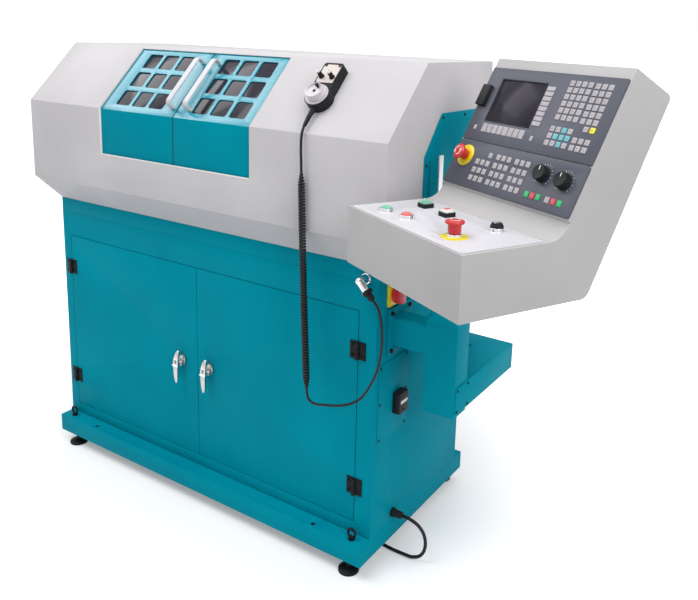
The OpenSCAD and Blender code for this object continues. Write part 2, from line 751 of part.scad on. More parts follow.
// Key fields: middle of the first key, columns, rows, pitch across, pitch up and key size
key = [13.5, 13];
key_fields = [
    [[68.5, op_v + 90.3], 4, 6, 18, 16.25, key],
    [[144, op_v + 89.2], 3, 6, 18, 16.25, key],
    [[69, op_v + 29], 4, 3, 17.8, 16.6, key],
    [[162.2, op_v + 72.3], 2, 1, 18.5, 16, key],
    [[145, op_v + 27.8], 3, 2, 18, 17, key],
    [[-151.5, op_v + 35.5], 8, 1, 19.1, 20, [17, 22]],
    [[12.5, op_v + 66.6], 1, 8, 20, 12.36, [26, 10.6]],
    [[-186, op_v + 32.8], 1, 1, 20, 20, [9, 12]],
    [[18.6, op_v + 30.8], 1, 1, 20, 20, [9, 12]],
    [[-121.8, mcp_v + 26], 3, 3, 18.9, 20.7, key],
    [[-85.5, mcp_v + 88], 1, 1, 20, 20, key],
    [[-56.6, mcp_v + 25.7], 3, 4, 18.9, 20.9, key],
    [[8, mcp_v + 25.4], 3, 4, 18.6, 20.9, key],
    [[78.8, mcp_v + 24.6], 3, 1, 17.9, 20, key],
    [[142.4, mcp_v + 24.6], 3, 1, 18.1, 20, key]];
key_h = 1.7;
module panel_keys() {
    color("#D8D2CF") on_panel() for (f = key_fields, i = [0 : f[1] - 1], j = [0 : f[2] - 1])
        translate([f[0][0] + i * f[3], f[0][1] + j * f[4], panel_t]) linear_extrude(key_h)
            square(f[5], center = true);
}

// Controls that the hand moves
stem_l = 12;
// Mushroom stop: head, neck above the ring, and the stem in its bore
module mushroom(d, neck, rise) {
    color(red) rotate_extrude() polygon([[0, -stem_l], [stem_d / 2, -stem_l], [stem_d / 2, neck],
        [0.34 * d, neck], [0.36 * d, rise], [d / 2 - 1.5, rise + 1], [d / 2, rise + 3.5],
        [d / 2 - 2, rise + 7], [d / 4, rise + 9], [0, rise + 9.5]]);
}
module on_shelf(i) {
    at_console() translate([shelf_bores[i][0], shelf_bores[i][1], shelf_z + plate_t]) children();
}
stop_travel = 4;
module shelf_estop() {
    on_shelf(stop_at) mushroom(40, collar_h + stop_ring_h + stop_travel + run, 27);
}
module panel_estop() {
    on_panel() translate([panel_stop[0], panel_stop[1], panel_t])
        mushroom(38, collar_h + stop_travel + run, 20);
}
module push_button(i, tint) {
    color(tint) on_shelf(i) rotate_extrude() polygon([[0, -stem_l], [stem_d / 2, -stem_l],
        [stem_d / 2, bezel_h + 3], [stem_d / 2 - 1.5, bezel_h + 4.5], [0, bezel_h + 4.5]]);
}
module start_button() { push_button(0, "#1FBF6B"); }
module stop_button() { push_button(1, red); }
module square_button(i, tint) {
    cap = shroud_in - 2 * run;
    color(tint) on_shelf(i) {
        translate([0, 0, -stem_l]) cylinder(d = stem_d, h = stem_l + 9);
        translate([0, 0, 7]) linear_extrude(shroud_h - 3) rounded(cap, cap, 3);
        translate([0, 0, 7]) linear_extrude(shroud_h) rounded(cap - 8, cap - 8, 4);
    }
}
module left_square_button() { square_button(2, "#5FAE8A"); }
module right_square_button() { square_button(3, "white"); }
module key_switch() {
    color(black) on_shelf(5) rotate_extrude() polygon([[0, -stem_l], [stem_d / 2, -stem_l],
        [stem_d / 2, bezel_h + run], [bezel_d / 2 - 1, bezel_h + run], [bezel_d / 2 - 1, bezel_h + 4],
        [12.5, bezel_h + 5.5], [11.5, bezel_h + 9], [10, bezel_h + 10], [0, bezel_h + 10]]);
    color(steel) on_shelf(5) translate([0, 0, bezel_h + 9]) linear_extrude(3) rounded(3, 15, 1);
}
module override_knob(p) {
    color(black) on_panel() translate([p[0], p[1], panel_t]) {
        translate([0, 0, -12]) cylinder(d = stem_d, h = 14);
        translate([0, 0, run]) cylinder(d = 37, h = 3);
        translate([0, 0, 2]) cylinder(d1 = 35, d2 = 33.5, h = 17);
        translate([0, 0, 18]) linear_extrude(1.6) translate([0, 9.5]) square([1.8, 9], center = true);
    }
}
module feed_override() { override_knob(panel_bores[0]); }
module spindle_override() { override_knob(panel_bores[1]); }

// Hand pendant on the slope: round lower end, scale ring, dial with a crank and two selector knobs
bulb_d = pend_w + 2;
dial_t = pend_t[0] + bulb_d / 2;
knob_t = dial_t + 61;
knob_dx = 17;
dial_d = 54;
scale_d = 66;
scale_h = 3;
module pendant_body() {
    neck_w = pend_w - 8;
    color(black) on_slope() difference() {
        union() {
            translate([pend_x, dial_t, 0]) cylinder(d = bulb_d, h = pend_h);
            translate([pend_x, (dial_t + pend_t[1]) / 2, 0]) linear_extrude(pend_h)
                rounded(neck_w, pend_t[1] - dial_t, 7);
            translate([pend_x, pend_t[0] - pend_boot, pend_h / 2]) rotate([-90, 0, 0])
                cylinder(d1 = cord_d + 4, d2 = 2.4 * cord_d, h = pend_boot + 4);
            translate([pend_x, dial_t, pend_h - 1]) cylinder(d = scale_d, h = scale_h + 1);
            for (s = [-1, 1]) translate([pend_x + s * (neck_w / 2 - 9), pend_t[1] - 9, pend_h - 1])
                cylinder(d = 8, h = 4);
        }
        translate([pend_x, dial_t, pend_h - 12]) cylinder(d = 10 + 2 * fit, h = 20);
        for (s = [-1, 1]) translate([pend_x + s * knob_dx, knob_t, pend_h - 12])
            cylinder(d = 6 + 2 * fit, h = 20);
    }
}
module pendant_dial() {
    r = dial_d / 2;
    color("white") on_slope() translate([pend_x, dial_t, pend_h + scale_h]) {
        rotate_extrude() polygon([[0, -10], [5, -10], [5, run], [r - 1, run], [r, 2], [r, 16.5],
            [r - 1.5, 18], [r - 3.5, 18], [r - 5, 13], [0, 13]]);
        translate([6, 13, 12]) cylinder(d = 9, h = 14);
    }
}
module pendant_knob(s) {
    color(black) on_slope() translate([pend_x + s * knob_dx, knob_t, pend_h]) rotate_extrude()
        polygon([[0, -10], [3, -10], [3, run], [8, run], [8, 3], [7, 5], [7, 23], [6, 24], [0, 24]]);
}
module axis_knob() { pendant_knob(-1); }
module step_knob() { pendant_knob(1); }

// Cords and their fittings
module pendant_connector() {
    color(steel) translate([conn_x, y_front, conn_z]) {
        rod_y(30, -4, 0);
        rod_y(24, -elbow_out, -4);
        translate([0, -elbow_out, 0]) {
            sphere(d = 24);
            rotate([0, 135, 0]) {
                cylinder(d = 22, h = 34);
                translate([0, 0, 30]) cylinder(d = 30, h = 10);
                cylinder(d = 18, h = elbow_l);
            }
        }
    }
}
module pendant_cable_upper() { color(black) cord(upper_route, cord_d, [1, 0, 0], 2); }
module pendant_cable_coil() { color(black) cord(coil_route, coil_od, [1, 0, 0], 3, 12); }
module pendant_cable_lower() { color(black) cord(lower_route, cord_d, [0, 1, 0], 2); }
module mains_cable() { color(black) cord(mains_route, mains_d, [0.5, 0.3, 0.8], 3); }
module mains_coil() {
    color(black) translate([coil_x, coil_y, 0]) rotate_extrude() translate([coil_r - coil_w / 2, 0])
        square([coil_w, coil_h]);
}
module mains_plug() {
    color(red) translate([coil_side, coil_y + plug_gap, plug_d / 2]) rotate([-90, 0, 0]) {
        cylinder(d1 = 20, d2 = 40, h = 62);
        translate([0, 0, 62]) cylinder(d = plug_d, h = 58);
    }
}

// Inside: bed, headstock, motor, belt and electrics
module bed() {
    section = [[-70, 0], [150, 0], [150, 56], [138, 74], [138, bed_h], [96, bed_h], [96, 74], [80, 56],
        [0, 56], [-16, 74], [-16, bed_h], [-58, bed_h], [-58, 74], [-70, 56]];
    color(iron) translate([0, 0, z_enc]) along_x(bed_x[0], bed_x[1]) polygon(section);
}
module headstock() {
    color(iron) difference() {
        union() {
            box(head_x, [-70, 150], [z_enc, axis_z + 40]);
            translate([0, axis_y, axis_z]) rod_x(190, head_x[0], head_x[1]);
        }
        translate([0, axis_y, axis_z]) rod_x(spindle_d + 2 * fit, head_x[0] - 1, head_x[1] + 1);
    }
}
module spindle_chuck() {
    jaw = [24, 34];
    color(steel) translate([0, axis_y, axis_z]) {
        difference() {
            union() {
                rod_x(spindle_d, pulley_x[0] - 2, chuck_x[0] + 4);
                rod_x(pulley_d, pulley_x[0], pulley_x[1]);
                rod_x(chuck_d, chuck_x[0], chuck_x[1]);
                for (a = [0, 120, 240]) rotate([a, 0, 0]) translate([chuck_x[1] - 2, -jaw[0] / 2, 24])
                    cube([jaw[1] + 2, jaw[0], 48]);
            }
            rod_x(30, pulley_x[0] - 5, chuck_x[1] + 1);
        }
    }
}
motor_x = [pulley_x[1] + 18, pulley_x[1] + 268];
motor_s = 180;
motor_shaft_d = 28;
module spindle_motor() {
    color(black) translate([0, axis_y, motor_z]) difference() {
        union() {
            rod_x(motor_s, motor_x[0], motor_x[1]);
            for (x = [motor_x[0] + 20, motor_x[1] - 40])
                box([x, x + 20], [-motor_s / 2, motor_s / 2], [z_cab + cab_t - motor_z, 0]);
        }
        rod_x(motor_shaft_d + 2 * fit, motor_x[0] - 1, motor_x[0] + 40);
    }
}
module motor_pulley() {
    color(steel) translate([0, axis_y, motor_z]) {
        rod_x(motor_shaft_d, pulley_x[0] + 2, motor_x[0] + 38);
        rod_x(motor_pulley_d, pulley_x[0], pulley_x[1]);
    }
}
module belt_outline(grow) {
    hull() {
        translate([axis_y, axis_z]) circle(d = pulley_d + 2 * run + 2 * grow, $fn = 40);
        translate([axis_y, motor_z]) circle(d = motor_pulley_d + 2 * run + 2 * grow, $fn = 40);
    }
}
module drive_belt() {
    color(black) along_x(pulley_x[0] + 4, pulley_x[1] - 4) difference() {
        belt_outline(belt_t);
        belt_outline(0);
    }
}
module electrics() {
    y_plate = y_back - cab_t - 4;
    low = z_cab + 77;
    high = z_band - 107;
    far = x_side - 90;
    near = far - 500;
    color(grey) box([near, far], [y_plate, y_plate + 4], [low, high]);
    color(panel_grey) for (x = [30, 150, 270])
        box([near + x, near + x + 100], [y_plate - 170, y_plate], [(low + high) / 2, high - 40]);
    color(black) for (i = [0 : 6]) translate([near + 30 + 62 * i, y_plate - 80, low + 120])
        cube([50, 80, 90]);
    color(iron) box([far - 160, far - 20], [y_plate - 120, y_plate], [low + 15, low + 100]);
}

// Slides
module carriage() {
    color(iron) {
        box([60, 220], [-100, 180], [way_z + run, way_z + 50]);
        box([80, 200], [-100, -76], [way_z - 60, way_z + run + 1]);
    }
}
cross_z = way_z + 50;
module cross_slide() {
    color(iron) box([80, 200], [-130, 100], [cross_z + run, cross_z + 34]);
}
turret_at = [140, -30];
turret_z = cross_z + 34;
turret_s = 88;
module tool_turret() {
    color(steel) translate([turret_at[0], turret_at[1], turret_z + run]) {
        difference() {
            translate([-turret_s / 2, -turret_s / 2, 0]) cube([turret_s, turret_s, 72]);
            for (a = [0 : 90 : 270]) rotate([0, 0, a]) translate([turret_s / 2 - 14, -turret_s, 24])
                cube([20, 2 * turret_s, 24]);
        }
        cylinder(d = 36, h = 86);
        for (a = [0 : 90 : 270]) rotate([0, 0, a]) translate([turret_s / 2 - 14, -turret_s / 2 - 12, 28])
            cube([14, turret_s - 20, 18]);
    }
}
tail_x = bed_x[1] - 200;
module tailstock() {
    color(iron) {
        box([tail_x, tail_x + 150], [-62, 142], [way_z + run, way_z + 36]);
        box([tail_x + 10, tail_x + 140], [0, 80], [way_z + 30, axis_z]);
        translate([0, axis_y, axis_z]) rod_x(80, tail_x + 10, tail_x + 140);
    }
    color(steel) translate([0, axis_y, axis_z]) {
        rod_x(46, tail_x - 50, tail_x + 12);
        translate([tail_x - 100, 0, 0]) rotate([0, 90, 0]) cylinder(d1 = 4, d2 = 34, h = 51);
        rod_x(26, tail_x + 139, tail_x + 160);
        rod_x(110, tail_x + 160, tail_x + 172);
    }
}

base_plinth();
levelling_feet();
lifting_eyes();
cabinet_shell();
top_frame();
enclosure_shell();
end_panel();
side_cover();
socket_box();
switch_plate();
hinge_frame_leaves();
console_arm();
cable_duct();
pendant_body();
pendant_connector();
cable_gland();
pendant_cable_upper();
pendant_cable_coil();
pendant_cable_lower();
mains_cable();
mains_coil();
mains_plug();
bed();
headstock();
spindle_motor();
drive_belt();
electrics();
left_cabinet_door();
right_cabinet_door();
left_latch();
right_latch();
left_guard_door();
right_guard_door();
left_window();
right_window();
main_switch_knob();
console_housing();
shelf_plate();
operator_panel();
machine_panel();
screen();
panel_keys();
shelf_estop();
panel_estop();
start_button();
stop_button();
left_square_button();
right_square_button();
key_switch();
feed_override();
spindle_override();
pendant_dial();
axis_knob();
step_knob();
spindle_chuck();
motor_pulley();
carriage();
cross_slide();
tool_turret();
tailstock();
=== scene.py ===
"""A CNC turning lathe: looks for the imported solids, in metres, front towards -Y."""
import json
import math

import bmesh
import bpy
from mathutils import Matrix, Vector


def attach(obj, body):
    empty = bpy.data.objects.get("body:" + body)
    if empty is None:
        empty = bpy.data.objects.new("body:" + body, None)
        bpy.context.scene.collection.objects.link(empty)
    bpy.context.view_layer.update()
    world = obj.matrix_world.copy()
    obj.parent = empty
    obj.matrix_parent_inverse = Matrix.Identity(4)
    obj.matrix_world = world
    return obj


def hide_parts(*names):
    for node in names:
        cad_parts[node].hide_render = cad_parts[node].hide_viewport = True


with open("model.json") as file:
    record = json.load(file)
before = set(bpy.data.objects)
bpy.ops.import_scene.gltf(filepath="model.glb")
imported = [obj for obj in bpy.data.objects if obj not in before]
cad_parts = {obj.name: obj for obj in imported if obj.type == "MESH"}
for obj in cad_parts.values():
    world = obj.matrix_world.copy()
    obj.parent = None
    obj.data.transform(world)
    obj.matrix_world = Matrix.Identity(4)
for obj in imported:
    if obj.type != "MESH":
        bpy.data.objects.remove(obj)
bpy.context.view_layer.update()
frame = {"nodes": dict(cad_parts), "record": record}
NODES = frame["nodes"]
BODY_OF = {n: b for b, ns in frame["record"]["behaviour"]["bodies"].items() for n in ns}
MM = 0.001
scene = bpy.context.scene
scene.view_settings.view_transform = "Standard"

# Frames of the machine's faces, with z out of the face: the window slope, the console with its shelf and its
# slanted panel, the front and the right side
WINDOW_LEAN = math.atan2(189, 180)
CONSOLE_TURN, PANEL_LEAN = math.radians(-26.8), math.radians(62.9)
QUARTER = math.radians(90)
SLOPE = Matrix.Translation((0, -0.316, 1.227)) @ Matrix.Rotation(WINDOW_LEAN, 4, "X")
CONSOLE = Matrix.Translation((0.871, -0.532, 0)) @ Matrix.Rotation(CONSOLE_TURN, 4, "Z")
SHELF = CONSOLE @ Matrix.Translation((0, 0, 1.094))
PANEL = CONSOLE @ Matrix.Translation((0, 0.262, 1.131)) @ Matrix.Rotation(PANEL_LEAN, 4, "X")
FACE_PANEL = PANEL @ Matrix.Translation((0, 0, 0.004))
FRONT = Matrix.Rotation(QUARTER, 4, "X")
SIDE = Matrix.Rotation(QUARTER, 4, "Z") @ Matrix.Rotation(QUARTER, 4, "X")
PENDANT_EXIT = Vector((0.450, -0.297897, 1.267759))
DIAL_AT = (450, 104)


def spot(base, x, y, z=0.0):
    """A place on a face: x and y across it and z out of it, in millimetres."""
    return base @ Matrix.Translation((x * MM, y * MM, z * MM))


# Camera: the photograph's own place, turn and off-centre framing, in its own pixels
def make_camera():
    wide, high = 698, 600
    focal, middle_x, middle_y = 753.698, 400.398, 188.850
    turn, dip, roll = (math.radians(a) for a in (30.969, 11.4945, 2.1922))
    ahead = Vector((-math.sin(turn) * math.cos(dip), math.cos(turn) * math.cos(dip), -math.sin(dip)))
    right = Vector((math.cos(turn), math.sin(turn), 0))
    up = right.cross(ahead)
    across = math.cos(roll) * right + math.sin(roll) * up
    upward = math.cos(roll) * up - math.sin(roll) * right
    data = bpy.data.cameras.new("camera")
    data.sensor_fit = "HORIZONTAL"
    data.sensor_width = 36
    data.lens = focal / wide * data.sensor_width
    data.shift_x = (wide / 2 - middle_x) / wide
    data.shift_y = (middle_y - high / 2) / wide
    camera = bpy.data.objects.new("camera", data)
    place = Matrix((across, upward, -ahead)).transposed().to_4x4()
    place.translation = (1.646627, -1.823502, 1.480633)
    camera.matrix_world = place
    scene.collection.objects.link(camera)
    scene.camera = camera


make_camera()


# Materials
def lin(code):
    """An sRGB hex colour as linear red, green, blue and alpha."""
    parts = [int(code[i:i + 2], 16) / 255 for i in (1, 3, 5)]
    return tuple(c / 12.92 if c <= 0.04045 else ((c + 0.055) / 1.055) ** 2.4 for c in parts) + (1.0,)


def put(tree, kind, sockets, **settings):
    """Adds a node with its settings; a socket's value is a constant or another node's output."""
    made = tree.nodes.new(kind)
    for key, value in settings.items():
        setattr(made, key, value)
    for key, value in sockets.items():
        if isinstance(value, bpy.types.NodeSocket):
            tree.links.new(value, made.inputs[key])
        else:
            made.inputs[key].default_value = value
    return made


def start_material(name):
    """An empty node material, its tree and the place on the piece."""
    made = bpy.data.materials.new(name)
    made.use_nodes = True
    tree = made.node_tree
    tree.nodes.clear()
    where = put(tree, "ShaderNodeTexCoord", {}).outputs["Object"]
    return made, tree, where


def end_material(tree, shader):
    """Shows the shader on the surface."""
    put(tree, "ShaderNodeOutputMaterial", {"Surface": shader.outputs[0]})


def per_metre(size_mm):
    """Noise scale whose features are about that many millimetres wide."""
    return 1 / (size_mm * MM)


def ramp(tree, factor, low, high, colours):
    """A blend of two colours between two levels of a factor."""
    made = put(tree, "ShaderNodeValToRGB", {"Fac": factor})
    made.color_ramp.elements[0].position = low
    made.color_ramp.elements[1].position = high
    made.color_ramp.elements[0].color = colours[0]
    made.color_ramp.elements[1].color = colours[1]
    return made.outputs["Color"]


def coated(name, light, dark, rough, grain_mm, bump, sheen=0.5, patch_mm=260):
    """A sprayed, moulded or cast surface: slow tone drift, fine grain in height and gloss."""
    made, tree, where = start_material(name)
    drift = put(tree, "ShaderNodeTexNoise", {"Vector": where, "Scale": per_metre(patch_mm), "Detail": 3.0})
    grain = put(tree, "ShaderNodeTexNoise", {"Vector": where, "Scale": per_metre(grain_mm), "Detail": 2.0})
    tone = ramp(tree, drift.outputs["Fac"], 0.35, 0.65, (lin(dark), lin(light)))
    gloss = put(tree, "ShaderNodeMapRange", {"Value": grain.outputs["Fac"], "From Min": 0.3, "From Max": 0.7,
                                             "To Min": rough - 0.05, "To Max": rough + 0.05})
    height = put(tree, "ShaderNodeBump", {"Height": grain.outputs["Fac"], "Strength": bump, "Distance": 0.4 * MM})
    shader = put(tree, "ShaderNodeBsdfPrincipled", {
        "Base Color": tone, "Roughness": gloss.outputs[0], "Normal": height.outputs[0],
        "Specular IOR Level": sheen})
    end_material(tree, shader)
    return made


def turned(name, colour, rough, line_mm, axis_scale):
    """Bare metal with fine tool lines across one direction; the lines are drawn wider than real to show."""
    made, tree, where = start_material(name)
    stretch = put(tree, "ShaderNodeMapping", {"Vector": where, "Scale": axis_scale})
    lines = put(tree, "ShaderNodeTexNoise",
                {"Vector": stretch.outputs[0], "Scale": per_metre(line_mm), "Detail": 4.0})
    tone = ramp(tree, lines.outputs["Fac"], 0.3, 0.7, (lin(colour[1]), lin(colour[0])))
    gloss = put(tree, "ShaderNodeMapRange", {"Value": lines.outputs["Fac"], "From Min": 0.3, "From Max": 0.7,
                                             "To Min": rough - 0.06, "To Max": rough + 0.08})
    height = put(tree, "ShaderNodeBump", {"Height": lines.outputs["Fac"], "Strength": 0.15, "Distance": 0.3 * MM})
    shader = put(tree, "ShaderNodeBsdfPrincipled", {
        "Base Color": tone, "Roughness": gloss.outputs[0], "Normal": height.outputs[0], "Metallic": 1.0})
    end_material(tree, shader)
    return made


def smoked(name, colour, wave_mm=45):
    """Smoked polycarbonate sheet: dark, clear and smooth, with faint hard-coat waviness."""
    made, tree, where = start_material(name)
    wave = put(tree, "ShaderNodeTexNoise", {"Vector": where, "Scale": per_metre(wave_mm), "Detail": 1.0})
    height = put(tree, "ShaderNodeBump", {"Height": wave.outputs["Fac"], "Strength": 0.08, "Distance": 0.8 * MM})
    haze = put(tree, "ShaderNodeMapRange", {"Value": wave.outputs["Fac"], "To Min": 0.06, "To Max": 0.14})
    shader = put(tree, "ShaderNodeBsdfPrincipled", {
        "Base Color": lin(colour), "Roughness": haze.outputs[0], "Normal": height.outputs[0],
        "IOR": 1.58, "Transmission Weight": 0.3, "Specular IOR Level": 0.03})
    end_material(tree, shader)
    return made


def key_foil(name, light, dark):
    """Embossed polyester key foil in one colour."""
    return coated(name, light, dark, 0.40, 0.8, 0.05, sheen=0.2, patch_mm=30)


# Powder coat on sheet steel: even satin colour with a fine orange-peel skin
TEAL = coated("teal_powder_coat", "#0093A7", "#008CA0", 0.50, 1.6, 0.10, sheen=0.02)
# The same coat in light grey: the enclosure's calm, nearly matt faces
GREY = coated("grey_powder_coat", "#CDCACC", "#C6C3C5", 0.46, 1.6, 0.08, sheen=0.06)
# The console's coat: a shade darker, with a little more sheen
CONSOLE_GREY = coated("console_powder_coat", "#BDBBBA", "#B7B5B5", 0.50, 1.6, 0.08, sheen=0.12)
# The handles' coat: nearly white, smoother where hands rub it
HANDLE_WHITE = coated("handle_powder_coat", "#D2D2D5", "#CACACE", 0.36, 1.4, 0.08, sheen=0.15)
# The teal sprayed glossier on the guard doors: it mirrors the light along the slope
GUARD_TEAL = coated("guard_teal_gloss", "#008FA4", "#00889D", 0.26, 1.8, 0.06, sheen=0.5)
# Printed polyester foil on the shelf: flat, pale and silky
SHELF_FOIL = coated("shelf_foil", "#D3D1D6", "#CDCBD0", 0.38, 0.9, 0.05, sheen=0.2)
# The same foil printed dark on the two panels: a slate ground for the keys
PANEL_FOIL = coated("panel_foil", "#585A66", "#525460", 0.42, 0.9, 0.06, sheen=0.2)
# Embossed key foils: silky caps in small, even fields of colour
KEY_GREY = key_foil("key_foil_grey", "#B4AFB3", "#ACA7AB")
KEY_CYAN = key_foil("key_foil_cyan", "#72BAC4", "#68AFBA")
KEY_YELLOW = key_foil("key_foil_yellow", "#F0EA3C", "#E6DC34")
KEY_GREEN = key_foil("key_foil_green", "#35BE70", "#2FB267")
KEY_RED = key_foil("key_foil_red", "#DE5360", "#D24A57")
# Ink on the keys: thin, matt marks a shade darker than the caps
KEY_MARK = coated("key_print", "#8E8A89", "#858180", 0.5, 0.8, 0.02, patch_mm=30)
# Print on the soft keys: a faint darker field
KEY_LABEL = coated("key_label", "#A7A1A8", "#9F99A0", 0.42, 0.8, 0.03, patch_mm=30)
# Screen-printed ink on the foil: thin and matt
LEGEND_INK = coated("legend_ink", "#85828E", "#7B7884", 0.6, 0.8, 0.02, sheen=0.2, patch_mm=20)
# Black oxide and black enamel on steel: dull, slightly uneven
BLACK_STEEL = coated("black_enamel_steel", "#1D1E21", "#151618", 0.46, 1.2, 0.12, sheen=0.12)
# Moulded black polyamide: dry sheen and spark-eroded grain
BLACK_PLASTIC = coated("black_polyamide", "#222327", "#1B1C1F", 0.50, 0.7, 0.16, sheen=0.15, patch_mm=60)
# Polyurethane cord sheath: black, with a slight sheen along its curls
CORD_SKIN = coated("cord_polyurethane", "#17181A", "#101113", 0.42, 0.9, 0.10, sheen=0.26, patch_mm=40)
# Chrome on zinc die casting: bright, with a breath of haze and fine wipe marks
CHROME = turned("chromed_zinc", ("#E4E5E8", "#D4D6DA"), 0.14, 2.0, (1.0, 1.0, 0.15))
# Satin chrome on the latch levers: a broader, softer glint
SATIN_CHROME = turned("satin_chromed_zinc", ("#CFCCC8", "#BDBAB7"), 0.30, 1.5, (1.0, 1.0, 0.2))
# Turned and ground steel: fine rings round the spindle
STEEL = turned("turned_steel", ("#C4C6CA", "#AEB1B6"), 0.26, 0.9, (1.0, 0.08, 0.08))
# Bright drawn steel: long lines and a clear glint
BRIGHT_STEEL = turned("bright_steel", ("#D2D4D7", "#BDC0C4"), 0.22, 1.2, (0.1, 1.0, 1.0))
# Hot-dip zinc: broad spangle
ZINC = turned("galvanised_plate", ("#B4B7BA", "#9DA1A5"), 0.40, 12.0, (1.0, 1.0, 1.0))
# Machine enamel on grey iron castings: soft gloss over sand texture
IRON = coated("enamelled_iron", "#7F878B", "#757D82", 0.42, 3.0, 0.25)
# Smoked panes: dark, with a hint of the inside behind them
SMOKED = smoked("smoked_polycarbonate", "#34323E")
# The display's window: nearly black, smooth and faintly mirroring
SCREEN_GLASS = coated("display_window", "#37333C", "#2E2B34", 0.12, 2.0, 0.01, sheen=0.06, patch_mm=90)
# Injection-moulded ABS in signal colours: glossy and even
YELLOW = coated("yellow_abs", "#F3DF24", "#EBD41C", 0.30, 0.8, 0.05, patch_mm=40)
RED = coated("red_abs", "#D22E36", "#C5262E", 0.30, 0.8, 0.05, patch_mm=40)
# Polycarbonate lenses: milky tints with a sharper gloss
GREEN = coated("green_polycarbonate", "#79CFA9", "#6AC49B", 0.26, 0.8, 0.04, patch_mm=20)
PALE_GREEN = coated("pale_green_polycarbonate", "#8FC7AB", "#7FB99D", 0.30, 0.8, 0.04, patch_mm=20)
RED_LENS = coated("red_polycarbonate", "#F0766C", "#E86A61", 0.26, 0.8, 0.04, patch_mm=20)
# White ABS and its print: the brightest small parts
WHITE = coated("white_abs", "#EDECEA", "#E4E3E0", 0.32, 0.8, 0.04, patch_mm=30)
# Cream ABS on the pendant's field: warm and duller
CREAM = coated("cream_abs", "#D6CBC4", "#CDC2BB", 0.40, 0.8, 0.08, patch_mm=60)
# Moulded ABS with a pearly grey tint: a soft white that keeps its edges under the lamps
PEARL = coated("pearl_abs", "#D3CDD3", "#CBC5CB", 0.36, 0.8, 0.04, patch_mm=30)


# Pieces: edges shade smooth up to one angle, and solids are eased where they turn more than the other, in degrees
SMOOTH, SHARP = 35, 30


def finish_mesh(name, bm, mats, body, stands_for=()):
    """Turns a bmesh into a piece that rides on a body."""
    mesh = bpy.data.meshes.new(name)
    bm.to_mesh(mesh)
    bm.free()
    for m in mats:
        mesh.materials.append(m)
    for face in mesh.polygons:
        face.use_smooth = True
    mesh.set_sharp_from_angle(angle=math.radians(SMOOTH))
    made = bpy.data.objects.new(name, mesh)
    scene.collection.objects.link(made)
    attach(made, body)
    if stands_for:
        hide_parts(*stands_for)
    return made


def round_edges(bm, edges, radius, segments):
    """Rounds the edges by a radius in millimetres."""
    bmesh.ops.bevel(bm, geom=edges, offset=radius * MM, offset_type="OFFSET", segments=segments, profile=0.5,
                    affect="EDGES", clamp_overlap=True, material=-1)


def join_flats(bm):
    """Turns the flat faces' triangles back into whole faces."""
    bmesh.ops.dissolve_limit(bm, angle_limit=math.radians(0.5), verts=bm.verts, edges=bm.edges)


def eased(node, width, mats, paint=None, segments=2, trim=None):
    """The node's own solid with its edges eased, and its faces painted by their place."""
    bm = bmesh.new()
    bm.from_mesh(NODES[node].data)
    bmesh.ops.remove_doubles(bm, verts=bm.verts, dist=0.01 * MM)
    if trim:
        trim(bm)
    join_flats(bm)
    edges = [e for e in bm.edges if len(e.link_faces) == 2 and e.calc_face_angle() > math.radians(SHARP)]
    round_edges(bm, edges, width, segments)
    for face in bm.faces:
        face.material_index = paint(face) if paint else 0
    return finish_mesh(node + "_eased", bm, mats, BODY_OF[node], (node,))


def added(bm, old):
    """The faces that were not there before."""
    return [f for f in bm.faces if f not in old]


def settle(bm, old, at, mat):
    """Colours what was added and moves it to its place."""
    faces = added(bm, old)
    for f in faces:
        f.material_index = mat
    bmesh.ops.transform(bm, matrix=at, verts=list({v for f in faces for v in f.verts}))


def lathe(bm, profile, at, mat=0, steps=40):
    """Spins a profile of radius and height, in millimetres, round the place's own z."""
    verts = [bm.verts.new((r * MM, 0, z * MM)) for r, z in profile]
    edges = [bm.edges.new(pair) for pair in zip(verts, verts[1:])]
    old = set(bm.faces)
    bmesh.ops.spin(bm, geom=verts + edges, cent=(0, 0, 0), axis=(0, 0, 1), angle=2 * math.pi,
                   steps=steps, use_merge=True)
    verts = list({v for f in added(bm, old) for v in f.verts})
    bmesh.ops.remove_doubles(bm, verts=verts, dist=1e-6)
    bmesh.ops.recalc_face_normals(bm, faces=added(bm, old))
    settle(bm, old, at, mat)


def block(bm, size, at, corner=0.0, edge=0.0, mat=0, steps=3):
    """A block standing on the place: upright edges rounded by corner, upper rim by edge, in millimetres."""
    old = set(bm.faces)
    made = bmesh.ops.create_cube(bm, size=1.0)["verts"]
    bmesh.ops.scale(bm, vec=[s * MM for s in size], verts=made)
    bmesh.ops.translate(bm, vec=(0, 0, size[2] * MM / 2), verts=made)
    hair = 1e-7
    if corner:
        upright = [e for e in {e for f in added(bm, old) for e in f.edges}
                   if abs(e.verts[0].co.z - e.verts[1].co.z) > hair]
        round_edges(bm, upright, corner, steps)
    if edge:
        top = [e for e in {e for f in added(bm, old) for e in f.edges}
               if min(v.co.z for v in e.verts) > size[2] * MM - hair]
        round_edges(bm, top, edge, 2)
    settle(bm, old, at, mat)


# Cords: the routes of the solids' own centrelines, in metres
def smoothed(points, steps):
    """The route through its points, blended between them."""
    points = [Vector(p) for p in points]
    line = []
    for i in range(len(points) - 1):
        a, b = points[max(i - 1, 0)], points[i]
        c, d = points[i + 1], points[min(i + 2, len(points) - 1)]
        for k in range(steps):
            t = k / steps
            line.append(0.5 * (2 * b + (c - a) * t + (2 * a - 5 * b + 4 * c - d) * t * t
                               + (3 * b - a - 3 * c + d) * t * t * t))
    return line + [points[-1]]


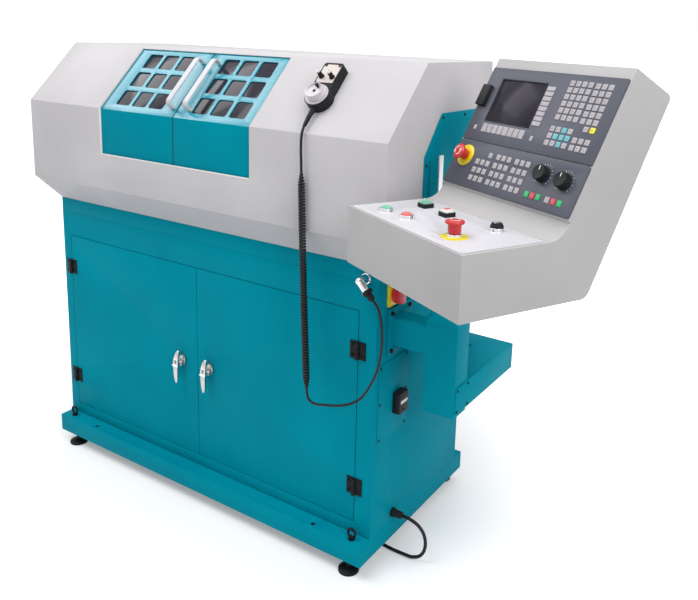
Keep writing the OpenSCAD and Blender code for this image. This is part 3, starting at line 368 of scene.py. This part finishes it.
def cord_piece(name, line, diameter, stands_for):
    """A round cord along its line, in place of its solids."""
    data = bpy.data.curves.new(name, "CURVE")
    data.dimensions = "3D"
    data.bevel_depth = diameter / 2
    data.bevel_resolution = 3
    data.use_fill_caps = True
    spline = data.splines.new("POLY")
    spline.points.add(len(line) - 1)
    for point, place in zip(spline.points, line):
        point.co = (*place, 1)
    data.materials.append(CORD_SKIN)
    made = bpy.data.objects.new(name, data)
    scene.collection.objects.link(made)
    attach(made, "machine")
    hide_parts(*stands_for)
    return made


def along(origin, offsets):
    """Points by their offsets from a place, in millimetres."""
    return [Vector(origin) + Vector(o) * MM for o in offsets]


def make_pendant_cord():
    """Straight out of the pendant, curled down to the cabinet's height, then a loose sweep to its connector."""
    diameter = 7 * MM
    socket = Vector((0.654012, -0.287, 0.816988))
    top = PENDANT_EXIT + Vector((3, -32, -136)) * MM
    end = Vector((socket.x - 0.174, top.y, socket.z - 0.281))
    upper = along(PENDANT_EXIT, [
        (0, 0, 0), (0, -9, -9), (0, -21, -25), (0, -29, -46), (0, -31, -78), (2, -32, -108), (3, -32, -136)])
    lower = [end] + along(socket, [
        (-168, -43, -305), (-149, -40, -315), (-118, -35, -312), (-72, -27, -303), (-35, -19, -286), (-6, -13, -256),
        (22, -7, -195), (34, -4, -135), (33, -2, -82), (25, 0, -37), (14, 0, -14), (0, 0, 0)])
    # Turns, points in a turn, radius, sideways sag, and how fast the curls grow at both ends
    turns, ring, curl, sag, taper = 75, 14, 6.4 * MM, 8, 18
    curls = []
    for i in range(1, turns * ring):
        f = i / (turns * ring)
        axis = top + f * (end - top) - Vector((sag * f * (1 - f) * MM, 0, 0))
        swell = min(1.0, taper * f, taper * (1 - f))
        a = 2 * math.pi * i / ring
        curls.append(axis + curl * swell * Vector((math.cos(a), math.sin(a), 0)))
    line = smoothed(upper, 5) + curls + smoothed(lower, 5)
    made = cord_piece("pendant_cord", line, diameter,
                      ("pendant_cable_upper", "pendant_cable_coil", "pendant_cable_lower"))


def make_mains_lead():
    """Out of its gland in one wide bend, back under the plinth, and wound up behind the machine."""
    diameter = 10 * MM
    gland = Vector((0.684, -0.140, 0.127))
    floor = 6 * MM
    centre = Vector((0.380, 0.400, floor))
    outer, inner = 72 * MM, 42 * MM
    entry = centre + Vector((outer, -0.020, 0))
    route = along(gland, [(0, 0, 0), (16, 0, 0), (40, 0, -4), (61, 0, -15), (75, 0, -34), (80, 0, -60), (75, 0, -86),
                          (61, 0, -106), (40, 0, -117), (16, 0, -120)])
    route += [Vector((0.630, -0.138, floor)), Vector((0.570, -0.118, floor)), Vector((0.526, -0.060, floor))]
    route += along(entry, [(54, -300, 0), (18, -140, 0), (4, -60, 0), (0, 0, 0)])
    line = smoothed(route, 5)
    # Three laps inwards on the floor, a short hop up, and three laps outwards on top
    ring, lift, laps, hop = 40, 10.6 * MM, 3, 0.125
    for i in range(1, 2 * laps * ring + 1):
        t = i / ring
        climb = min(1.0, max(0.0, (t - laps) / hop))
        radius = outer - t * (outer - inner) / laps
        if t > laps:
            radius = inner + max(0.0, t - laps - hop) * (outer - inner) / (laps - hop)
        a = 2 * math.pi * t
        line.append(centre + Vector((radius * math.cos(a), radius * math.sin(a),
                                     lift * climb * climb * (3 - 2 * climb))))
    line += along(centre, [(72, 12, 11.4), (72, 24, 15.5), (72, 36, 19.4), (72, 44, 20)])
    made = cord_piece("mains_lead", line, diameter, ("mains_cable", "mains_coil"))
    plug = eased("mains_plug", 1.5, [RED])


make_pendant_cord()
make_mains_lead()


# Finishes of the machine's own solids. These tell a solid's parts from its plate: the end panel's gauge and the
# connector's cord nut by their place across, in metres, and what stands proud of a panel's foil, in millimetres
GAUGE_X, CORD_NUT_X = 0.7092, 0.6335
PROUD = 0.15


def local(base, face):
    """A face's middle in a slanted face's own frame, in millimetres."""
    return (base.inverted() @ face.calc_center_median()) / MM


def right_of(x):
    """Paints the faces further right than a place with the second material."""
    return lambda face: int(face.calc_center_median().x > x)


def above(base, height):
    """Paints the faces higher on a slanted face than a height in millimetres with the second material."""
    return lambda face: int(local(base, face).z > height)


def flange_bolts(face):
    """The arm's bolt heads: small faces just off its flange."""
    flange, heads, largest = 0.6583, 0.6655, 2e-4
    return int(flange < face.calc_center_median().x < heads and face.calc_area() < largest)


def hinge_leaf(face):
    """The hinge leaves in front of a cabinet door's sheet."""
    sheet = -0.2551
    return int(face.calc_center_median().y < sheet)


def dress_sheet_metal():
    """Plinth, cabinet, guard, doors and what is bolted to them."""
    for node, width in (("base_plinth", 1.5), ("cabinet_shell", 1.2), ("top_frame", 1.2), ("side_cover", 0.8),
                        ("cable_duct", 1.5)):
        eased(node, width, [TEAL])
    eased("end_panel", 1.2, [TEAL, BRIGHT_STEEL], right_of(GAUGE_X))
    eased("console_arm", 1.5, [TEAL, BLACK_STEEL], flange_bolts, trim=slim_swivel)
    for side in ("left", "right"):
        eased(side + "_cabinet_door", 1.5, [TEAL, BLACK_STEEL], hinge_leaf)
        eased(side + "_guard_door", 1.0, [GUARD_TEAL, HANDLE_WHITE, TEAL], guard_paint)
        eased(side + "_window", 0.5, [SMOKED])
        eased(side + "_latch", 0.9, [SATIN_CHROME, CHROME], latch_paint, segments=3)
    eased("enclosure_shell", 1.2, [GREY])
    for node, width in (("hinge_frame_leaves", 0.6), ("levelling_feet", 1.0), ("lifting_eyes", 0.4)):
        eased(node, width, [BLACK_STEEL])


def slim_swivel(bm):
    """Takes half a millimetre off the flat-sided swivel pin, so that it turns freely in its bore."""
    axis = CONSOLE @ Vector((-0.030, 0.230, 0))
    foot, reach, share = 0.9575, 0.0205, 0.975
    for v in bm.verts:
        away = Vector((v.co.x - axis.x, v.co.y - axis.y))
        if v.co.z > foot and away.length < reach:
            v.co.x, v.co.y = axis.x + share * away.x, axis.y + share * away.y


def guard_paint(face):
    """Gloss on the window slope, satin below its fold, and the white handle."""
    at = local(SLOPE, face)
    front, middle, half = -2.5, -5.5, 3
    if at.z > front:
        return 1
    return 0 if at.y > 0 and abs(at.z - middle) < half else 2


def latch_paint(face):
    """Satin lever and hub; polished band, neck and lock barrel."""
    at = face.calc_center_median()
    door, pivot = 255, 451
    out, up = -at.y / MM - door, at.z / MM - pivot
    return int((-17.6 < up < -11.4 and out > 19) or (8.6 < out < 17.5 and up > -18))


def make_guard_edges():
    """Pale strips painted as the highlight on the guard opening's lit cut edges, and the dark seal where the two
    doors meet.
    """
    left_edge, meeting = -351.5, -34.2
    bm = bmesh.new()
    # Painted highlight: white along the sill and the front of the left edge, light grey where the left edge runs up
    # the slope
    block(bm, (616, 4, 0.7), spot(FRONT, -46, 1084, 316), edge=0.3)
    block(bm, (5, 141, 3.3), spot(FRONT, left_edge, 1156.5, 312.6), edge=0.5)
    block(bm, (5, 250, 3.3), spot(SLOPE, left_edge, 125, -3.4), edge=0.5, mat=1)
    finish_mesh("guard_opening_edge_highlight", bm, [WHITE, CONSOLE_GREY], "machine")
    bm = bmesh.new()
    block(bm, (2.4, 146, 0.5), spot(FRONT, meeting, 1152, 312))
    block(bm, (2.4, 250, 0.5), spot(SLOPE, meeting, 126, -4))
    finish_mesh("guard_meeting_seal", bm, [BLACK_PLASTIC], "right_guard")


def screws(name, body, places, size, mat=BLACK_STEEL):
    """Pan-head screws with a round recess, each at its place with z out of the sheet."""
    shape = [(0, 0.16), (0.20, 0.16), (0.23, 0.36), (0.36, 0.34), (0.47, 0.22), (0.5, 0.05), (0.5, -0.1)]
    bm = bmesh.new()
    for at in places:
        lathe(bm, [(r * size, z * size) for r, z in shape], at, steps=14)
    finish_mesh(name, bm, [mat], body)


def make_fasteners():
    """Screws on the covers, hinges and shelf, and black discs sunk in the plinth's anchor holes as painted shade."""
    # How far out of the middle each sheet's face lies
    cover, duct, end, hinge, flange = 652, 853.5, 705, 258, 259
    screws("cover_screws", "machine", [spot(SIDE, y, z, cover) for y in (-231, -97) for z in (395, 501, 606)], 7)
    screws("duct_screws", "machine", [spot(SIDE, y, z, duct) for y in (-173, -112) for z in (517, 576)], 8)
    end_places = ((-128, 1012), (-128, 1150), (-47, 1271), (80, 1271), (193, 1271), (193, 1140), (193, 1012),
                  (40, 1012))
    screws("end_panel_screws", "machine", [spot(SIDE, y, z, end) for y, z in end_places], 8)
    # Hinge pins by their place across and the side of the frame, and the screws' heights on them
    pins = {"left": (-611, -1), "right": (593, 1)}
    leaf, heights = 17, [z + dz for z in (251, 653) for dz in (-15, 15)]
    frame_side = [spot(FRONT, x + s * leaf, z, hinge) for x, s in pins.values() for z in heights]
    screws("hinge_frame_screws", "machine", frame_side, 8)
    for side, (x, s) in pins.items():
        places = [spot(FRONT, x - s * leaf, z, hinge) for z in heights]
        screws(side + "_hinge_door_screws", side + "_door", places, 8)
    shelf_places = ((-206, 14), (203, 14), (-1, 202), (206, 200), (-206, 200))
    screws("shelf_screws", "console", [spot(SHELF, u, d) for u, d in shelf_places], 6, BRIGHT_STEEL)
    # Painted shade: black discs a few millimetres down in the anchor holes, so that the holes read dark instead of
    # showing the floor below
    plug, ledge = [(0, -2), (4, -2.4), (6.8, -3), (6.8, -4.6), (0, -4.6)], 0.103
    bm = bmesh.new()
    for x in (-475, 475):
        for y in (-285, 285):
            lathe(bm, plug, Matrix.Translation((x * MM, y * MM, ledge)), steps=20)
    finish_mesh("anchor_hole_shade_discs", bm, [BLACK_PLASTIC], "machine")
    reach = (-11.5, 11.5)
    screws("flange_screws", "machine", [spot(FRONT, 613 + dx, 858 + dz, flange) for dx in reach for dz in reach], 4)


def on_dial_ring(face):
    """The pendant's raised ring under its dial."""
    p = local(SLOPE, face)
    return int(p.z > 30.4 and (p.xy - Vector(DIAL_AT)).length < 34)


def dress_fittings():
    """Socket box with its label strip, rib and screw, then the main switch, the gland and the pendant's ends."""
    middle, lid = -142, 676
    eased("socket_box", 2.0, [BLACK_PLASTIC])
    bm = bmesh.new()
    block(bm, (34, 9, 0.8), spot(SIDE, middle, 484, lid), corner=1, edge=0.3)
    finish_mesh("socket_label_strip", bm, [WHITE], "machine")
    bm = bmesh.new()
    block(bm, (46, 2.2, 0.9), spot(SIDE, middle, 500, lid), corner=0.5, edge=0.3)
    lathe(bm, [(0, 0.6), (1.6, 0.6), (1.9, 1.6), (3.2, 1.4), (3.4, -0.2)], spot(SIDE, middle, 459, lid), steps=16)
    finish_mesh("socket_lid_rib", bm, [BLACK_PLASTIC], "machine")
    eased("switch_plate", 0.8, [YELLOW])
    eased("main_switch_knob", 2.0, [RED], segments=3)
    eased("cable_gland", 0.8, [BLACK_PLASTIC])
    eased("pendant_body", 3.0, [BLACK_PLASTIC, PEARL], on_dial_ring, segments=3)
    eased("pendant_connector", 0.8, [CHROME, BLACK_PLASTIC], right_of(CORD_NUT_X))


def make_cord_boot():
    """Ribbed rubber boot where the cord leaves the pendant."""
    at = Matrix.Translation(PENDANT_EXIT) @ Matrix.Rotation(math.radians(140), 4, "X")
    bore, pitch, groove = 3.4, 4.2, 0.9
    profile = [(bore, -2), (6.6, -2)]
    for k in range(7):
        r, z = 6.2 - 0.2 * k, pitch * k
        profile += [(r, z), (r, z + 2.6), (r - groove, z + 3.0), (r - groove, z + 3.8)]
    bm = bmesh.new()
    lathe(bm, profile + [(bore, 30)], at, steps=24)
    finish_mesh("pendant_cord_boot", bm, [BLACK_PLASTIC], "machine")


def make_pendant():
    """The pendant's light field, the dial's wheel with its crank, and the two selector knobs."""
    bm = bmesh.new()
    block(bm, (54, 62, 0.25), spot(SLOPE, 450, 177, 30), corner=4)
    finish_mesh("pendant_field", bm, [CREAM], "machine")
    at = spot(SLOPE, *DIAL_AT, 33)
    marks = 50
    bm = bmesh.new()
    for k in range(marks):
        turn = Matrix.Rotation(2 * math.pi * k / marks, 4, "Z")
        block(bm, (0.5, 3.4 if k % 5 else 5.0, 0.25), at @ turn @ Matrix.Translation((0, 30.2 * MM, 0)))
    finish_mesh("pendant_dial_marks", bm, [BLACK_PLASTIC], "machine")
    bm = bmesh.new()
    lathe(bm, [(0, 13), (17.5, 13), (20.5, 13.6), (21.6, 17.4), (22.8, 18.3), (24.1, 17.8), (24.5, 16), (24.5, 3.4),
               (26.6, 2.6), (27, 1.6), (26, 0.5), (5, 0.5), (5, -10), (0, -10)], at, steps=60)
    lathe(bm, [(0, 26), (2.8, 26), (4.2, 24.8), (4.6, 22), (3.6, 14), (3.6, 12.5)],
          at @ Matrix.Translation((6 * MM, 13 * MM, 0)), mat=1, steps=20)
    lathe(bm, [(4.5, 13.4), (4.5, 13.9), (0, 13.9)], at, mat=1, steps=20)
    finish_mesh("pendant_wheel", bm, [PEARL, BLACK_PLASTIC], "dial", ("pendant_dial",))
    for node, body, x in (("axis_knob", "axis_selector", 433), ("step_knob", "step_selector", 467)):
        at = spot(SLOPE, x, 165, 30)
        bm = bmesh.new()
        lathe(bm, [(3, -10), (3, 0.4), (8, 0.4), (8, 1.6), (6.4, 2.6), (5.9, 20.5)], at, steps=28)
        lathe(bm, [(5.9, 20.5), (5.9, 23.2), (5.2, 24), (0, 24)], at, mat=1, steps=28)
        block(bm, (1.2, 5, 0.5), at @ Matrix.Translation((0, 3.0 * MM, 23.8 * MM)))
        finish_mesh(node + "_turned", bm, [BLACK_PLASTIC, PEARL], body, (node,))


# Console controls, by their place across and back on the shelf, or across and up the panel
SHELF_AT = {"start": (-132, 49), "stop": (-59, 56), "left_square": (-131, 154), "right_square": (-39, 149),
            "estop": (112, 60), "key": (110, 169)}
KNOBS_AT = {"feed_override": ("feed_knob", 102, 78), "spindle_override": ("speed_knob", 168, 74)}
PANEL_STOP_AT = (-173, 79)
# Radius of the controls' stems in their 22-millimetre holes
STEM = 10.95


def shelf_paint(face):
    """Foil on the plate, chrome bezels, black shrouds and the yellow collar."""
    p = local(SHELF, face)
    reach, collar = 30, 2.6
    if p.z < PROUD:
        return 0
    for name, (u, d) in SHELF_AT.items():
        if max(abs(p.x - u), abs(p.y - d)) < reach:
            if "square" in name:
                return 2
            return 3 if name == "estop" and p.z < collar else 1
    return 0


def mushroom(name, body, at, stands_for, head, neck, rise):
    """Mushroom stop: turned head with two white turning arrows on a wide neck."""
    r = head / 2
    bm = bmesh.new()
    lathe(bm, [(STEM, -12), (STEM, neck), (0.68 * r, neck), (0.69 * r, rise - 2), (0.73 * r, rise),
               (r - 1.2, rise + 1), (r, rise + 2.6), (r, rise + 4.2), (r - 0.9, rise + 6.2), (0.80 * r, rise + 7.8),
               (0.5 * r, rise + 9), (0.25 * r, rise + 9.4), (0, rise + 9.5)], at, steps=56)
    steps, shaft = 9, 7
    for half in (0, math.pi):
        for k in range(steps):
            turn = Matrix.Rotation(half + math.radians(15 * k), 4, "Z")
            lift = Matrix.Translation((0, 0.52 * r * MM, (rise + 8.75) * MM))
            wide = 2.4 if k < shaft else 5.6 - 2.6 * (k - shaft)
            block(bm, (0.155 * r, wide, 0.5), at @ turn @ lift, mat=1)
    finish_mesh(name, bm, [RED, WHITE], body, (stands_for,))


def make_override(node, body, u, v):
    """Override knob: skirt, fluted grip and a white pointer; its scale is printed round it."""
    at = spot(FACE_PANEL, u, v)
    bm = bmesh.new()
    lathe(bm, [(STEM, -12), (STEM, 0.4), (18.6, 0.4), (18.6, 2.6), (17.8, 3.4), (17.4, 4), (16.9, 17.6),
               (16.2, 18.7), (15, 19), (13.4, 18.5), (0, 18.3)], at, steps=60)
    flutes, steps = 36, 14
    for k in range(flutes):
        turn = Matrix.Rotation(2 * math.pi * k / flutes, 4, "Z")
        block(bm, (1.3, 0.9, 12), at @ turn @ Matrix.Translation((0, 17.2 * MM, 4.6 * MM)), edge=0.35)
    block(bm, (1.8, 9, 0.4), at @ Matrix.Translation((0, 9.5 * MM, 18.3 * MM)), mat=1)
    finish_mesh(node + "_turned", bm, [BLACK_PLASTIC, WHITE], body, (node,))
    bm = bmesh.new()
    for k in range(steps + 1):
        turn = Matrix.Rotation(math.radians(135 - 270 * k / steps), 4, "Z")
        long = 3.6 if k % 2 == 0 else 2.2
        block(bm, (0.9, long, 0.25), at @ turn @ Matrix.Translation((0, 24 * MM, 0)))
    finish_mesh(node + "_scale", bm, [WHITE], "console")


def round_back_corner(bm):
    """The folded sheet's rear upper corner, bent round a 12-millimetre tool."""
    join_flats(bm)
    back = CONSOLE.to_3x3() @ Vector((0, 1, 0))
    rear = max(v.co.dot(back) for v in bm.verts) - 0.5 * MM
    corner = [e for e in bm.edges if all(v.co.dot(back) > rear for v in e.verts)]
    round_edges(bm, corner, 12, 5)


def lamp_lens(face):
    """The round red lens in the right square button."""
    p = local(SHELF, face)
    return int(p.z > 15 and (p.xy - Vector(SHELF_AT["right_square"])).length < 6)


def dress_console():
    """Housing, foils and display, then the stops, buttons, key switch and override knobs."""
    eased("console_housing", 2.5, [CONSOLE_GREY], segments=3, trim=round_back_corner)
    eased("shelf_plate", 0.6, [SHELF_FOIL, CHROME, BLACK_PLASTIC, YELLOW], shelf_paint)
    eased("operator_panel", 0.8, [PANEL_FOIL, BLACK_PLASTIC], above(FACE_PANEL, PROUD))
    eased("machine_panel", 0.8, [PANEL_FOIL, YELLOW], above(FACE_PANEL, PROUD))
    eased("screen", 0.2, [SCREEN_GLASS])
    mushroom("shelf_stop_head", "shelf_stop", spot(SHELF, *SHELF_AT["estop"]), "shelf_estop", 40, 11.3, 27)
    mushroom("panel_stop_head", "panel_stop", spot(FACE_PANEL, *PANEL_STOP_AT), "panel_estop", 38, 6.3, 20)
    for body, tint, slot in (("start", GREEN, "green_plastic"), ("stop", RED_LENS, "red_plastic")):
        bm = bmesh.new()
        lathe(bm, [(STEM, -12), (STEM, 9.6), (10.4, 11.2), (8.4, 12.2), (4, 12.5), (0, 12.5)],
              spot(SHELF, *SHELF_AT[body]))
        finish_mesh(body + "_button_lens", bm, [tint], body, (body + "_button",))
    eased("left_square_button", 1.8, [PALE_GREEN], segments=3)
    eased("right_square_button", 1.8, [WHITE, RED_LENS], lamp_lens, segments=3)
    eased("key_switch", 0.5, [BLACK_PLASTIC, BRIGHT_STEEL], above(SHELF, 18.2))
    for node, (body, u, v) in KNOBS_AT.items():
        make_override(node, body, u, v)


def make_legends():
    """Plain printed lines where the shelf's legends run: place across, place back, length."""
    bm = bmesh.new()
    for u, d, long in ((-140, 22, 26), (-68, 29, 22), (-139, 126, 15), (-112, 128, 22), (-52, 122, 18),
                       (-32, 123, 12), (70, 44, 44), (104, 24, 40), (92, 141, 40), (122, 140, 14)):
        block(bm, (long, 0.9, 0.12), spot(SHELF, u, d))
    finish_mesh("shelf_legends", bm, [LEGEND_INK], "console")


def make_keys():
    """Embossed foil keys in their fields: first key's middle, columns, rows, pitches, size and odd colours."""
    wide, tall, small = (13.5, 13), (13, 13.5), (9, 12)
    cyan, yellow, green, red = 1, 2, 3, 4
    # The row of soft keys under the display and the column beside it
    soft_keys, soft_u, soft_du = 8, -151.5, 19.1
    side_v, side_dv = 186.6, 12.36
    face = 1.66
    fields = [
        ((68.5, 210.3), 4, 6, 18, 16.25, wide, {}),
        ((144, 209.2), 3, 6, 18, 16.25, wide, {}),
        ((69, 149), 4, 3, 17.8, 16.6, wide, {(2, 0): cyan, (1, 1): cyan, (2, 1): cyan, (3, 1): cyan, (2, 2): cyan}),
        ((162.2, 192.3), 2, 1, 18.5, 16, wide, {(1, 0): yellow}),
        ((145, 147.8), 3, 2, 18, 17, wide, {}),
        ((soft_u, 155.5), soft_keys, 1, soft_du, 20, (17, 22), {}),
        ((12.5, side_v), 1, soft_keys, 20, side_dv, (26, 10.6), {}),
        ((-186, 152.8), 1, 1, 20, 20, small, {}),
        ((18.6, 150.8), 1, 1, 20, 20, small, {}),
        ((-121.8, 29), 3, 3, 18.9, 20.7, tall, {}),
        ((-85.5, 91), 1, 1, 20, 20, tall, {}),
        ((-56.6, 28.7), 3, 4, 18.9, 20.9, tall, {}),
        ((8, 28.4), 3, 4, 18.6, 20.9, tall, {}),
        ((78.8, 27.6), 3, 1, 17.9, 20, tall, {(0, 0): green, (1, 0): red, (2, 0): green}),
        ((142.4, 27.6), 3, 1, 18.1, 20, tall, {(1, 0): red, (2, 0): green})]
    bm = bmesh.new()
    for (u, v), columns, rows, du, dv, size, odd in fields:
        for i in range(columns):
            for j in range(rows):
                at = spot(FACE_PANEL, u + i * du, v + j * dv)
                block(bm, (*size, 1.7), at, corner=1.2, edge=0.7, mat=odd.get((i, j), 0), steps=2)
    finish_mesh("keypad_keys", bm, [KEY_GREY, KEY_CYAN, KEY_YELLOW, KEY_GREEN, KEY_RED], "console",
                ("panel_keys",))
    bm = bmesh.new()
    for (u, v), columns, rows, du, dv, size, _ in fields:
        if size in (wide, tall):
            for i in range(columns):
                for j in range(rows):
                    mark = 4.2 if (i + 2 * j) % 3 else 2.0
                    block(bm, (mark, 2.6, 0.15), spot(FACE_PANEL, u + i * du - 1, v + j * dv + 0.6, face))
    for i in range(soft_keys):
        block(bm, (16, 11, 0.15), spot(FACE_PANEL, soft_u + i * soft_du, 160.2, face), mat=1)
        block(bm, (12, 9, 0.15), spot(FACE_PANEL, 18.4, side_v + i * side_dv, face), mat=1)
    finish_mesh("keypad_marks", bm, [KEY_MARK, KEY_LABEL], "console")


def make_screen_frame():
    """Stepped bezel round the display."""
    bm = bmesh.new()
    for u, v, w, h in ((-84, 284.4, 158, 2.8), (-84, 174.6, 158, 2.8), (-161.6, 229.5, 2.8, 112.6),
                       (-6.4, 229.5, 2.8, 112.6)):
        block(bm, (w, h, 1.4), spot(FACE_PANEL, u, v), edge=0.5)
    finish_mesh("screen_bezel", bm, [BLACK_PLASTIC], "console")


def dress_works():
    """The machine inside: castings, drive, electrics and tools."""
    for node, width, mat in (
            ("bed", 2.0, IRON), ("headstock", 3.0, IRON), ("spindle_motor", 1.5, BLACK_STEEL),
            ("drive_belt", 0.5, CORD_SKIN), ("electrics", 1.5, ZINC), ("spindle_chuck", 1.0, STEEL),
            ("motor_pulley", 1.0, STEEL), ("carriage", 2.0, IRON), ("cross_slide", 2.0, IRON),
            ("tool_turret", 1.0, STEEL), ("tailstock", 2.0, IRON)):
        eased(node, width, [mat])


dress_sheet_metal()
make_guard_edges()
make_fasteners()
dress_fittings()
make_pendant()
make_cord_boot()
dress_console()
make_legends()
make_keys()
make_screen_frame()
dress_works()


# Stage: pale floor, white surroundings and soft light
def sees_background(tree):
    """One for the rays that show the surroundings: to the camera, off metal and through glass."""
    ray = put(tree, "ShaderNodeLightPath", {})
    seen = put(tree, "ShaderNodeMath", {0: ray.outputs["Is Camera Ray"], 1: ray.outputs["Is Glossy Ray"]},
               operation="MAXIMUM")
    return put(tree, "ShaderNodeMath", {0: seen.outputs[0], 1: ray.outputs["Is Transmission Ray"]},
               operation="MAXIMUM").outputs[0]


def make_floor():
    """A wide floor that shows the shadow near the machine and glows into the white surroundings further away."""
    near, far, dim = 0.7, 1.8, 0.26
    bm = bmesh.new()
    bmesh.ops.create_grid(bm, x_segments=1, y_segments=1, size=60)
    mesh = bpy.data.meshes.new("floor")
    bm.to_mesh(mesh)
    bm.free()
    # Pale studio floor: matt and even
    made, tree, where = start_material("pale_floor")
    away = put(tree, "ShaderNodeVectorMath", {0: where}, operation="LENGTH")
    fade = put(tree, "ShaderNodeMapRange", {"Value": away.outputs["Value"], "From Min": near, "From Max": far,
                                            "To Min": dim, "To Max": 1.0})
    cloth = put(tree, "ShaderNodeBsdfDiffuse", {"Color": lin("#F2F2F2")})
    glow = put(tree, "ShaderNodeEmission", {"Color": (1, 1, 1, 1), "Strength": fade.outputs[0]})
    both = put(tree, "ShaderNodeAddShader", {0: cloth.outputs[0], 1: glow.outputs[0]})
    pick = put(tree, "ShaderNodeMixShader", {0: sees_background(tree), 1: cloth.outputs[0], 2: both.outputs[0]})
    end_material(tree, pick)
    mesh.materials.append(made)
    floor = bpy.data.objects.new("floor", mesh)
    scene.collection.objects.link(floor)


def make_world():
    """White surroundings that light the machine only softly."""
    world = bpy.data.worlds.new("studio")
    scene.world = world
    world.use_nodes = True
    tree = world.node_tree
    tree.nodes.clear()
    white = put(tree, "ShaderNodeBackground", {"Color": (1, 1, 1, 1), "Strength": 1.0})
    soft = put(tree, "ShaderNodeBackground", {"Color": lin("#F4F6FA"), "Strength": 0.42})
    mix = put(tree, "ShaderNodeMixShader", {0: sees_background(tree), 1: soft.outputs[0], 2: white.outputs[0]})
    put(tree, "ShaderNodeOutputWorld", {"Surface": mix.outputs[0]})


def make_lamp(name, place, aim, size, power, mirrored_only=False):
    """A soft square lamp; one that is only mirrored lays a sheen on gloss and lights nothing else."""
    data = bpy.data.lights.new(name, "AREA")
    data.shape = "RECTANGLE"
    data.size, data.size_y = size
    data.energy = power
    lamp = bpy.data.objects.new(name, data)
    lamp.location = place
    lamp.rotation_euler = (Vector(aim) - Vector(place)).to_track_quat("-Z", "Y").to_euler()
    lamp.visible_diffuse = not mirrored_only
    scene.collection.objects.link(lamp)


make_floor()
make_world()
make_lamp("key", (-0.9, -2.5, 5.0), (0, -0.3, 0.5), (2.6, 2.0), 92)
make_lamp("left", (-2.6, -0.7, 3.3), (-0.1, -0.3, 1.3), (2.4, 2.4), 20)
make_lamp("card", (-2.25, -0.52, 3.3), (-0.1, -0.22, 1.32), (1.5, 1.6), 24, mirrored_only=True)
make_lamp("top", (1.2, -0.1, 4.2), (0.5, -0.1, 0.8), (3.0, 2.4), 50)
make_lamp("fill", (3.9, -1.5, 2.9), (0.6, 0, 0.7), (2.2, 2.4), 60)
